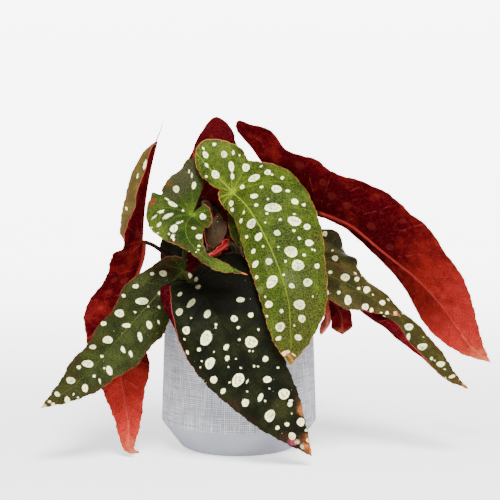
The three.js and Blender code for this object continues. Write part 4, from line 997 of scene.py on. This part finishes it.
def under_material(name, wine, coral):
    """Wine-red under side, brighter coral towards the tip, partly as painted light, with raised paler veins.
    """
    look = Shader(name, 0.65, Specular_IOR_Level=0.0)
    flat = look.place("flat")
    broad = look.noise(flat, 0.035, 4.0, 0.6)
    patchy = look.noise(flat, 0.13, 4.0, 0.65)
    fine = look.noise(flat, 0.8, 3.0, 0.6)
    along = look.number("along")
    # Brighter towards the tip: partly the leaf's own paler red and partly painted light on the far end of the
    # blade.
    lit = look.add(look.ease(along, 0.3, 0.95), look.ease(broad, 0.3, 0.7, -0.2, 0.2))
    lit = look.add(lit, look.ease(patchy, 0.3, 0.7, -0.08, 0.08))
    look.start(look.math("MULTIPLY", lit, 1.0, clamp=True), wine, coral)
    look.paint(look.ease(fine, 0.38, 0.66, 0.0, 0.5), [0.6 * c for c in wine])
    lines = vein_line(look, 0.8)
    rib = look.ease(look.number("across"), 0.4, 1.4, 1.0, 0.0)
    broken = look.ease(patchy, 0.44, 0.64, 0.0, 0.24)
    midrib = look.times(rib, look.ease(patchy, 0.3, 0.6, 0.2, 0.5))
    line = look.larger(look.times(lines, broken), midrib)
    look.paint(line, (168, 70, 62))
    netted = look.cells(flat, 0.3, "DISTANCE_TO_EDGE")
    net = look.ease(netted, 0.0, 0.12, 1.0, 0.0)
    look.paint(look.times(net, 0.1), (150, 44, 44))
    spot = look.ease(look.number("spot"), -0.8, 0.8, 0.07, 0.0)
    look.paint(spot, (176, 74, 62))
    rim = look.ease(look.number("edge"), 0.1, 0.6, 0.6, 0.0)
    look.paint(rim, (148, 72, 56))
    ochre = look.times(look.ease(along, 0.85, 1.0, 0.0, 0.7), look.ease(patchy, 0.4, 0.6, 0.3, 1.0))
    look.paint(ochre, (176, 106, 66))
    height = look.total((lines, 0.7), (net, 0.25), (fine, 0.3))
    return look.finish(height, 0.0008, look.ease(fine, 0.2, 0.8, 0.46, 0.62))


def stalk_material(name, stem, rib):
    """Smooth stalk with short pale streaks, and another tone where it runs on under the blade."""
    look = Shader(name, 0.6, Specular_IOR_Level=0.02)
    flat = look.place("flat")
    streak = look.noise(look.stretched(flat, (0.18, 1.0, 1.0)), 1.1, 3.0, 0.6)
    under_blade = look.ease(look.number("along"), 0.96, 1.04)
    look.start(under_blade, stem, rib)
    look.paint(look.ease(streak, 0.4, 0.7, 0.0, 0.4), [1.6 * c for c in stem])
    return look.finish(look.times(streak, 0.5), 0.0004, look.ease(streak, 0.3, 0.7, 0.42, 0.58))


def cane_material():
    """Olive cane with brown scars at its nodes and pale corky flecks."""
    look = Shader("cane_skin", 0.5, Specular_IOR_Level=0.1)
    flat = look.place("flat")
    broad = look.noise(look.stretched(flat, (0.05, 0.3, 0.3)), 1.0, 3.0, 0.6)
    look.start(look.ease(broad, 0.35, 0.65), (44, 50, 22), (62, 48, 26))
    fleck = look.cells(look.stretched(flat, (0.35, 0.7, 0.7)), 0.8)
    flecks = look.ease(fleck, 0.1, 0.2, 0.75, 0.0)
    look.paint(flecks, (104, 92, 60))
    scar = look.number("scar")
    look.paint(look.times(scar, 0.8), (52, 34, 22))
    height = look.total((flecks, 0.5), (broad, 0.6))
    return look.finish(height, 0.0006, look.ease(broad, 0.3, 0.7, 0.42, 0.62))


def pot_material():
    """Matte blue-grey ware with a linen-like woven relief on the wall and faint turning lines below it."""
    look = Shader("pot_linen", 0.85, Specular_IOR_Level=0.03)
    flat = look.place("flat")
    split = look.node("SeparateXYZ")
    look.feed(split.inputs[0], flat)
    x, y, up = split.outputs
    woven = look.number("woven")
    around = look.math("ARCTAN2", y, x)
    warp = look.math("SINE", look.times(around, 262))
    weft = look.math("SINE", look.times(up, 3.7))
    thread_up = look.noise(look.stretched(flat, (0.9, 0.9, 0.05)), 1.0, 3.0, 0.7)
    thread_round = look.noise(look.stretched(flat, (0.045, 0.045, 1.0)), 1.0, 3.0, 0.7)
    warp = look.times(warp, look.ease(thread_up, 0.35, 0.62, 0.25, 1.0))
    weft = look.times(weft, look.ease(thread_round, 0.35, 0.62, 0.25, 1.0))
    weave = look.times(look.add(warp, weft), woven)
    turning = look.noise(look.stretched(flat, (0.008, 0.008, 1.3)), 1.0, 3.0, 0.65)
    lines = look.times(look.minus(turning, 0.5), look.minus(1.1, woven))
    cloud = look.noise(flat, 0.03, 3.0, 0.55)
    dust = look.noise(flat, 1.4, 2.0, 0.6)
    look.start(look.ease(cloud, 0.3, 0.7), (148, 149, 154), (172, 173, 177))
    light_up = look.times(look.ease(thread_up, 0.48, 0.66, 0.0, 0.75), woven)
    light_round = look.times(look.ease(thread_round, 0.48, 0.66, 0.0, 0.75), woven)
    look.paint(look.larger(light_up, light_round), (222, 222, 224))
    dark_up = look.times(look.ease(thread_up, 0.32, 0.47, 0.7, 0.0), woven)
    dark_round = look.times(look.ease(thread_round, 0.32, 0.47, 0.7, 0.0), woven)
    look.paint(look.larger(dark_up, dark_round), (108, 110, 118))
    # The low places of the woven relief are painted darker, as painted shade in its hollows.
    look.paint(look.ease(weave, -0.9, 0.5, 0.75, 0.0), (100, 103, 114))
    look.paint(look.ease(lines, 0.02, 0.2, 0.0, 0.3), (120, 123, 134))
    look.paint(look.minus(0.7, look.times(woven, 0.7)), (122, 125, 134))
    height = look.total((weave, 0.4), (lines, 1.0), (dust, 0.25))
    return look.finish(height, 0.0006, look.ease(dust, 0.2, 0.8, 0.78, 0.92))


def soil_material():
    """Dark crumbly potting soil with fibres and a few pale grains."""
    look = Shader("soil_crumb", 0.95, Specular_IOR_Level=0.2)
    flat = look.place("flat")
    clods = look.noise(flat, 0.25, 4.0, 0.65)
    grain = look.cells(flat, 0.55)
    look.start(look.ease(clods, 0.35, 0.65), (34, 24, 18), (78, 58, 42))
    look.paint(look.ease(grain, 0.1, 0.5, 0.3, 0.0), (104, 80, 58))
    fibre = look.noise(look.stretched(flat, (0.12, 1.4, 1.0)), 1.2, 2.0, 0.5)
    look.paint(look.ease(fibre, 0.66, 0.74, 0.0, 0.5), (132, 104, 72))
    pale = look.ease(look.cells(flat, 0.17), 0.08, 0.11, 0.8, 0.0)
    look.paint(pale, (188, 182, 168))
    height = look.add(clods, look.times(grain, -0.6))
    return look.finish(height, 0.0016, 0.95)


def floor_material():
    """White studio paper, lit more towards the back as a studio lights its backdrop."""
    look = Shader("floor_paper", 0.95, Specular_IOR_Level=0.1)
    place = look.node("TexCoord").outputs["Object"]
    split = look.node("SeparateXYZ")
    look.feed(split.inputs[0], place)
    cloud = look.noise(place, 3.0, 2.0)
    look.start(look.ease(cloud, 0.2, 0.8), (246, 246, 246), (250, 250, 250))
    look.feed(look.bsdf.inputs["Emission Color"], (1.0, 1.0, 1.0, 1.0))
    front = look.ease(split.outputs[2], 0.02, 0.5, 1.0, 0.3)
    back = look.ease(split.outputs[1], 0.0, 1.0)
    strength = look.add(look.times(back, BACKDROP_LIGHT), look.times(look.minus(1.0, back), front))
    look.feed(look.bsdf.inputs["Emission Strength"], strength)
    return look.finish()

def camera_axes():
    forward = np.array([0, math.cos(CAMERA_FALL), -math.sin(CAMERA_FALL)])
    up = np.array([0, math.sin(CAMERA_FALL), math.cos(CAMERA_FALL)])
    right = np.array([1.0, 0, 0])
    scale = CAMERA_DISTANCE / FOCAL_PIXELS
    centre = -CAMERA_DISTANCE * forward + AIM_UP * scale * up + AIM_RIGHT * scale * right
    return centre, forward, up, right


def seen_at(points):
    """Pixel place and depth of points, in the photograph's frame."""
    centre, forward, up, right = camera_axes()
    apart = points - centre
    depth = apart @ forward
    x = IMAGE_SIZE / 2 + FOCAL_PIXELS * (apart @ right) / depth
    y = IMAGE_SIZE / 2 - FOCAL_PIXELS * (apart @ up) / depth
    return x, y, depth


def nearest_seen(x, y, depth, px, py):
    """Number of the front-most place that shows at a picture place."""
    gap = np.hypot(x - px, y - py)
    near = np.flatnonzero(gap < max(gap.min() + 0.8, 1.2))
    return near[np.argmin(depth[near])]


def spot_table(surface, flat, points, rng, seen):
    """Spots of one leaf as [s, w, turn and scale to a unit circle, reach]: those seen, then seeded ones."""
    lean = math.atan2(VEIN_LEAN, 1)
    spots = []
    s, w = flat["s"], flat["w"]
    in_lobe = flat["phase"] < 0
    x, y, depth = seen_at(points)
    taken = []
    for px, py, long, short in seen:
        k = nearest_seen(x, y, depth, px, py)
        taken.append([s[k], w[k]])
        if not long:
            continue
        places = np.array([[s[k], w[k]], [s[k] + 0.5, w[k]], [s[k], w[k] + 0.5]])
        px3, py3, _ = seen_at(surface.point(places[:, 0], places[:, 1], np.full(3, flat["share"][k])))
        to_picture = np.array([[px3[1] - px3[0], px3[2] - px3[0]], [py3[1] - py3[0], py3[2] - py3[0]]]) / 0.5
        vein = np.array([math.sin(lean), np.sign(w[k]) * math.cos(lean)])
        if in_lobe[k]:
            vein = np.array([s[k], w[k]])
        seen_vein = unit(to_picture @ vein)
        turn = np.array([seen_vein * 2 / long, np.array([-seen_vein[1], seen_vein[0]]) * 2 / short])
        left, stretch, right = np.linalg.svd(turn @ to_picture)
        stretch = np.clip(stretch, 1 / long, None)
        spots.append((s[k], w[k], left @ np.diag(stretch) @ right, 1 / stretch[1]))
    taken = np.array(taken).reshape(-1, 2)
    weight = np.where(in_lobe, flat["share"] * 0.7, 1.0) * (flat["share"] > 0)
    weight = weight / weight.sum()
    area = surface.length * (np.mean(surface.spec["wide"]) + np.mean(surface.spec["narrow"]))
    for density, low, high in SEEDED_SPOTS:
        for _ in range(int(density * area)):
            k = rng.choice(len(s), p=weight)
            half_long = rng.uniform(low, high)
            half_short = half_long * rng.uniform(0.62, 0.85)
            if flat["edge"][k] < half_short + 1.2 or abs(w[k]) < half_short + 0.8:
                continue
            if low > 3 and abs(math.sin(math.pi * flat["phase"][k])) < 0.6:
                continue
            if len(taken) and np.hypot(*(taken - [s[k], w[k]]).T).min() < CLEAR_OF_SEEN_SPOTS:
                continue
            room = 1.5 if low < 1 else 3.0
            if all(math.hypot(s[k] - t[0], w[k] - t[1]) > half_long + t[3] + room for t in spots):
                side = 1 if w[k] >= 0 else -1
                vein = np.array([math.sin(lean), side * math.cos(lean)])
                turn = np.array([vein / half_long, np.array([-vein[1], vein[0]]) / half_short])
                spots.append((s[k], w[k], turn, half_long))
    return spots


def cast_table(flat, points, seen):
    """Colour cast of each place, painted shade and painted sheen among them, and how strong it is there."""
    share = np.zeros(len(points))
    shade = np.zeros((len(points), 3))
    x, y, depth = seen_at(points)
    for px, py, reach, cast in zip(seen[::4], seen[1::4], seen[2::4], seen[3::4]):
        k = nearest_seen(x, y, depth, float(px), float(py))
        away = np.hypot(flat["s"] - flat["s"][k], flat["w"] - flat["w"][k]) / (float(reach) * CAST_SPREAD)
        strength = np.exp(-(away**2))
        shade += strength[:, None] * colour(CASTS[cast])[:3]
        share += strength
    return shade / np.maximum(share, 1e-6)[:, None], np.minimum(share, 1)


def spot_distance(flat, spots, rng):
    """Distance of each place from the nearest spot's edge, negative inside it."""
    nearest = np.full(len(flat["s"]), FARTHEST_SPOT)
    for s, w, turn, reach in spots:
        away = np.stack([flat["s"] - s, flat["w"] - w])
        near = np.flatnonzero((np.abs(away) < reach + FARTHEST_SPOT).all(0))
        u, v = turn @ away[:, near]
        angle = np.arctan2(v, u)
        wobble = 1 + 0.05 * np.sin(2 * angle + rng.uniform(0, 6))
        wobble = wobble + 0.04 * np.sin(3 * angle + rng.uniform(0, 6))
        distance = (np.hypot(u, v) / wobble - 1) / np.linalg.norm(turn, 2)
        nearest[near] = np.minimum(nearest[near], distance)
    return nearest


def cane_curve(spec):
    """Densely sampled cane centreline, as three.js's centripetal curve through its points."""
    points = [np.array(p, float) for p in spec["route"]]
    first = points[0] + (points[0] - points[1])
    last = points[-1] + (points[-1] - points[-2])
    ring = [first, *points, last]
    path = []
    for i in range(len(points) - 1):
        p = ring[i:i + 4]
        gap = [max(np.linalg.norm(b - a) ** 0.5, 1e-4) for a, b in zip(p, p[1:])]
        t1 = (p[1] - p[0]) / gap[0] - (p[2] - p[0]) / (gap[0] + gap[1]) + (p[2] - p[1]) / gap[1]
        t2 = (p[2] - p[1]) / gap[1] - (p[3] - p[1]) / (gap[1] + gap[2]) + (p[3] - p[2]) / gap[2]
        t1, t2 = t1 * gap[1], t2 * gap[1]
        for t in np.linspace(0, 1, 60, endpoint=i == len(points) - 2):
            cube = 2 * p[1] - 2 * p[2] + t1 + t2
            square = -3 * p[1] + 3 * p[2] - 2 * t1 - t2
            path.append(cube * t**3 + square * t**2 + t1 * t + p[1])
    path = np.array(path)
    return path, arc_lengths(path)


def cane_radius(spec, place, length):
    foot, top = spec["radii"]
    swell = sum(np.exp(-(((place - node) * length) / 2.0) ** 2) for node in spec["nodes"])
    return (foot + (top - foot) * place) * (1 + NODE_SWELLING * swell)


def round_flat(along, rings, sides, radius):
    """Texture places of a tube's vertices, as if it were straight."""
    turn = np.concatenate([np.tile(2 * np.pi * np.arange(sides) / sides, rings), [0, 0]])
    return np.stack([along, radius * np.cos(turn), radius * np.sin(turn)], 1)


def make_cane(name, spec):
    path, arc = cane_curve(spec)
    length = arc[-1]
    place = np.linspace(0, 1, int(length / CANE_STEP))
    points = along_path(path, arc, place * length)
    radii = cane_radius(spec, place, length)
    gap = np.min([np.abs(place - node) * length for node in spec["nodes"]], axis=0)
    radii = radii * (1 + 0.05 * np.exp(-(((gap - 1.1) / 0.35) ** 2)))
    ends = np.minimum(place, 1 - place) * length
    rounding = np.sqrt(np.clip(1 - (1 - ends / CANE_END_ROUNDING) ** 2, 0.05, 1))
    radii = radii * np.where(ends < CANE_END_ROUNDING, rounding, 1)
    vertices, faces, along = tube(points, radii, CANE_SIDES)
    scar = np.concatenate([np.repeat(np.exp(-((gap / CANE_SCAR_REACH) ** 2)), CANE_SIDES), [0, 0]])
    flat = round_flat(along, len(points), CANE_SIDES, 3)
    piece = new_object(name + "_skin", vertices, faces, [CANE], attributes={"flat": flat, "scar": scar})
    settle(piece, name)


def stalk_points(surface, stalk):
    """Stalk from its cane's node to the blade and on under the midrib, as in the CAD source."""
    spec = CANES[stalk["cane"]]
    path, arc = cane_curve(spec)
    place = spec["nodes"][stalk["node"]]
    node = along_path(path, arc, np.array([place * arc[-1]]))[0]
    near = along_path(path, arc, np.array([place * arc[-1] - 0.5, place * arc[-1] + 0.5]))
    axis = unit(near[1] - near[0])
    base = surface.frame_at(np.array([0.0]))
    base_centre = base[0][0] - base[1][0] * STALK_RADIUS * RIB_SINK
    away = np.array([*stalk["via"], base_centre][0], float) - node
    away = unit(away - (away @ axis) * axis)
    radius = float(cane_radius(spec, place, arc[-1]))
    start = node + away * (radius + SEAT_GAP)
    bends = [start + away * STALK_STRAIGHT, *map(np.array, stalk["via"]), base_centre]
    stalk_path = np.vstack([[node + away * (radius - 0.4)], even_path(bends, STALK_STEP)])
    share = np.linspace(0, 1, max(int(surface.length * RIB_REACH / 2), 8))[1:]
    centre, up, _ = surface.frame_at(share * RIB_REACH * surface.length)
    rib_radii = STALK_RADIUS + (RIB_TIP_RADIUS - STALK_RADIUS) * np.sqrt(share)
    rib = centre - up * (rib_radii + 0.1)[:, None]
    radii = np.concatenate([np.full(len(stalk_path), STALK_RADIUS), rib_radii])
    flare = np.arange(len(stalk_path)) * STALK_STEP
    radii[:len(stalk_path)] *= 1 + 0.28 * np.exp(-flare / 3)
    return np.vstack([stalk_path, rib]), radii, len(stalk_path)


def make_leaf(name, spec):
    greens, reds, slot, seed = LOOKS[name]
    rng = np.random.default_rng(seed)
    surface = LeafSurface(spec)
    step = FINE_STEP if name in SEEN_SPOTS else PLAIN_STEP
    flat = leaf_grid(surface, step, seed)
    points = grid_points(surface, flat)
    normals = vertex_normals(points, flat["triangles"])
    half = BLADE_THICKNESS / 2 * (1 - 0.45 * flat["share"] ** 4)
    upper = points + normals * half[:, None]
    lower = points - normals * half[:, None]
    count = len(points)
    triangles = flat["triangles"]
    border = border_edges(triangles)
    a, b = border[:, 0], border[:, 1]
    strip = np.concatenate([np.stack([a, a + count, b], 1), np.stack([b, a + count, b + count], 1)])
    seen = np.array(SEEN_SPOTS.get(name, "").split(), float).reshape(-1, 4)
    spots = spot_table(surface, flat, points, rng, seen) if name not in SPOTLESS else []
    cast, cast_share = cast_table(flat, points, SEEN_CASTS.get(name, "").split())
    spot = spot_distance(flat, spots, rng)
    stalk, radii, joint = stalk_points(surface, spec["stalk"])
    rod, rod_faces, rod_along = tube(stalk, radii, STALK_SIDES)
    rod_flat = round_flat(rod_along, len(stalk), STALK_SIDES, 2)
    if name in DRY_TAILS:
        top = points[np.argmax(points[:, 2])]
        tail, tail_faces, tail_along = tube(top + np.array(DRY_TAILS[name], float), TAIL_RADII, STALK_SIDES)
        rod_faces = np.concatenate([rod_faces, tail_faces + len(rod)])
        rod = np.vstack([rod, tail])
        rod_flat = np.vstack([rod_flat, tail_along[:, None] * [1, 0, 0]])
        rod_along = np.concatenate([rod_along, 0 * tail_along])
    rod_count = len(rod)
    vertices = np.vstack([upper, lower, rod])
    faces = np.concatenate([triangles, triangles[:, ::-1] + count, strip, rod_faces + 2 * count])
    material_of = np.repeat([0, 1, 1, 2], [len(triangles), len(triangles), len(strip), len(rod_faces)])
    apart = TEXTURE_SPACING * seed
    blade_and_rod = {
        "flat": (np.stack([flat["s"], flat["w"], np.full(count, apart)], 1), rod_flat + [0, 0, apart]),
        "spot": (spot, np.full(rod_count, FARTHEST_SPOT)),
        "phase": (flat["phase"], np.zeros(rod_count)),
        "pitch": (flat["pitch"], np.zeros(rod_count)),
        "cast": (cast, np.zeros((rod_count, 3))),
        "cast_share": (cast_share, np.zeros(rod_count)),
        "across": (np.abs(flat["w"]), np.zeros(rod_count)),
        "edge": (flat["edge"], np.zeros(rod_count)),
        "from_stalk": (np.hypot(flat["s"], flat["w"]), np.zeros(rod_count)),
        "along": (np.clip(flat["s"] / surface.length, 0, 1), rod_along / rod_along[joint * STALK_SIDES]),
    }
    attributes = {key: np.concatenate([blade, blade, rod]) for key, (blade, rod) in blade_and_rod.items()}
    stem = STEMS["red" if reds == "coral" else "green"]
    rib = [RIB_DIMNESS * c for c in REDS[reds]["coral"]]
    materials = [
        upper_material(name + "_upper", **GREENS[greens]),
        under_material(name + "_under", **REDS[reds]),
        stalk_material(name + "_stalk", stem, rib),
    ]
    sharp = np.concatenate([border, border + count])
    piece = new_object(name + "_blade", vertices, faces, materials, material_of, attributes, sharp)
    settle(piece, name)


def settle(piece, node):
    """A piece that rides with the plant and stands for its CAD node."""
    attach(piece, "root")
    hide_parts(node)


def make_pot():
    inside = POT_RIM_RADIUS - POT_WALL
    corners = [
        [0, 0],
        [POT_FOOT_RADIUS - 2.2, 0],
        [POT_FOOT_RADIUS - 1.2, 0],
        [POT_FOOT_RADIUS + 2.5, 1.6],
        [POT_WIDEST_RADIUS - 0.1, POT_SHOULDER_HEIGHT - 0.6],
        [POT_WIDEST_RADIUS, POT_SHOULDER_HEIGHT + 0.5],
        [POT_WIDEST_RADIUS - 0.2, POT_SHOULDER_HEIGHT + 10],
        [POT_RIM_RADIUS, POT_HEIGHT - 1.6],
        [POT_RIM_RADIUS - 1.4, POT_HEIGHT],
        [inside + 1.2, POT_HEIGHT],
        [inside, POT_HEIGHT - 1.4],
        [inside + 1.5, POT_SHOULDER_HEIGHT + 4],
        [POT_FOOT_RADIUS, 8],
        [POT_FOOT_RADIUS - 3, 7],
        [0, 7],
    ]
    profile = rounded_profile(corners, 2.4, 6)
    dense = [profile[0]]
    for a, b in zip(profile, profile[1:]):
        pieces = max(int(np.linalg.norm(b - a) / 4), 1)
        dense += [a + (b - a) * k / pieces for k in range(1, pieces + 1)]
    profile = np.array(dense)
    vertices, faces = lathe(profile, POT_SIDES)
    height = np.repeat(profile[:, 1], POT_SIDES)
    woven = np.repeat(np.arange(len(profile)) < np.argmax(profile[:, 1]), POT_SIDES).astype(float)
    woven *= np.clip((height - POT_SHOULDER_HEIGHT + 1) / 1.5, 0, 1)
    woven *= np.clip((POT_HEIGHT - 1 - height) / 2, 0, 1)
    piece = new_object("pot_ware", vertices, faces, [POT], attributes={"flat": vertices, "woven": woven})
    settle(piece, "pot")


def soil_relief(x, y):
    a, b, c, d = SOIL_LUMPS
    return SOIL_RELIEF * (np.sin(a * x + 1) * np.cos(b * y) + 0.5 * np.sin(c * x - d * y))


def make_soil():
    """Soil body with a crumbly top that follows the CAD relief, and loose crumbs lying on it."""
    rng = np.random.default_rng(5)
    inside = POT_RIM_RADIUS - POT_WALL - SEAT_GAP
    outer = [
        [0, 7.3], [POT_FOOT_RADIUS - 3.3, 7.3], [POT_FOOT_RADIUS - 0.4, 8.3],
        [inside + 1.2, POT_SHOULDER_HEIGHT + 4.2], [inside, SOIL_HEIGHT - 0.5],
    ]
    top = [[r, SOIL_HEIGHT] for r in np.linspace(inside - 0.4, 0, 64)]
    vertices, faces = lathe(outer + top, SOIL_SIDES)
    x, y = vertices[:, 0], vertices[:, 1]
    on_top = vertices[:, 2] > SOIL_HEIGHT - 0.01
    clods = np.zeros(len(x))
    for _ in range(CLODS):
        angle, r = rng.uniform(0, 2 * np.pi), inside * math.sqrt(rng.uniform(0, 1))
        size = rng.uniform(1.4, 4.2)
        gap2 = (x - r * math.cos(angle)) ** 2 + (y - r * math.sin(angle)) ** 2
        clods = np.maximum(clods, 0.42 * size * np.exp(-gap2 / size**2))
    rim = np.clip((inside - np.hypot(x, y)) / 4, 0, 1)
    vertices[:, 2] += np.where(on_top, (soil_relief(x, y) + clods - 0.4) * rim, 0)
    cube = np.array([[i, j, k] for i in (-1, 1) for j in (-1, 1) for k in (-1, 1)], float)
    corner_faces = np.array([
        [0, 1, 3], [0, 3, 2], [4, 6, 7], [4, 7, 5], [0, 4, 5], [0, 5, 1],
        [2, 3, 7], [2, 7, 6], [0, 2, 6], [0, 6, 4], [1, 5, 7], [1, 7, 3],
    ])
    crumbs, crumb_faces = [vertices], [faces]
    total = len(vertices)
    for _ in range(CRUMBS):
        angle, r = rng.uniform(0, 2 * np.pi), (inside - 3) * math.sqrt(rng.uniform(0, 1))
        cx, cy = r * math.cos(angle), r * math.sin(angle)
        size = rng.uniform(0.5, 1.5)
        turn = np.linalg.qr(rng.normal(size=(3, 3)))[0]
        turn = turn * np.sign(np.linalg.det(turn))
        corners = (cube * rng.uniform(0.5, 1.1, (8, 1)) * size) @ turn.T
        crumbs.append(corners + [cx, cy, SOIL_HEIGHT + soil_relief(cx, cy) + 0.4 * size])
        crumb_faces.append(corner_faces + total)
        total += 8
    vertices = np.vstack(crumbs)
    faces = np.concatenate(crumb_faces)
    piece = new_object("soil_bed", vertices, faces, [SOIL], attributes={"flat": vertices})
    settle(piece, "soil")


def make_floor():
    """Round pale floor that curves up into a wall, outside the camera's place at every side."""
    profile = [[0, 0]]
    for turn in np.linspace(0, math.pi / 2, 16):
        profile.append([FLOOR_RADIUS + FLOOR_BEND * math.sin(turn), FLOOR_BEND * (1 - math.cos(turn))])
    profile.append([FLOOR_RADIUS + FLOOR_BEND, FLOOR_WALL_HEIGHT])
    vertices, faces = lathe(profile, FLOOR_SIDES)
    floor = new_object("floor", vertices, faces[:, ::-1], [floor_material()])


def add_area_light(name, place, power):
    data = bpy.data.lights.new(name, "AREA")
    data.shape = "DISK"
    data.size = LAMP_SIZE
    data.energy = power
    light = bpy.data.objects.new(name, data)
    light.location = place
    direction = Vector(LAMP_TARGET) - Vector(place)
    light.rotation_euler = direction.to_track_quat("-Z", "Y").to_euler()
    bpy.context.scene.collection.objects.link(light)


def make_camera():
    centre = camera_axes()[0]
    data = bpy.data.cameras.new("camera")
    data.sensor_width = SENSOR_MM
    data.sensor_height = SENSOR_MM
    data.lens = FOCAL_PIXELS * SENSOR_MM / IMAGE_SIZE
    data.clip_end = 100
    camera = bpy.data.objects.new("camera", data)
    camera.location = tuple(centre / 1000)
    camera.rotation_euler = (math.pi / 2 - CAMERA_FALL, 0, 0)
    bpy.context.scene.collection.objects.link(camera)
    bpy.context.scene.camera = camera


def make_light():
    world = bpy.data.worlds.new("studio")
    world.use_nodes = True
    background = world.node_tree.nodes["Background"]
    background.inputs[0].default_value = (1.0, 1.0, 1.0, 1.0)
    background.inputs[1].default_value = WORLD_LIGHT
    bpy.context.scene.world = world
    for name, (place, power) in LAMPS.items():
        add_area_light(name, place, power)


CANE = cane_material()
POT = pot_material()
SOIL = soil_material()

make_camera()
make_light()
make_floor()
make_pot()
make_soil()
for name, spec in CANES.items():
    make_cane(name, spec)
for name, spec in LEAVES.items():
    make_leaf(name, spec)
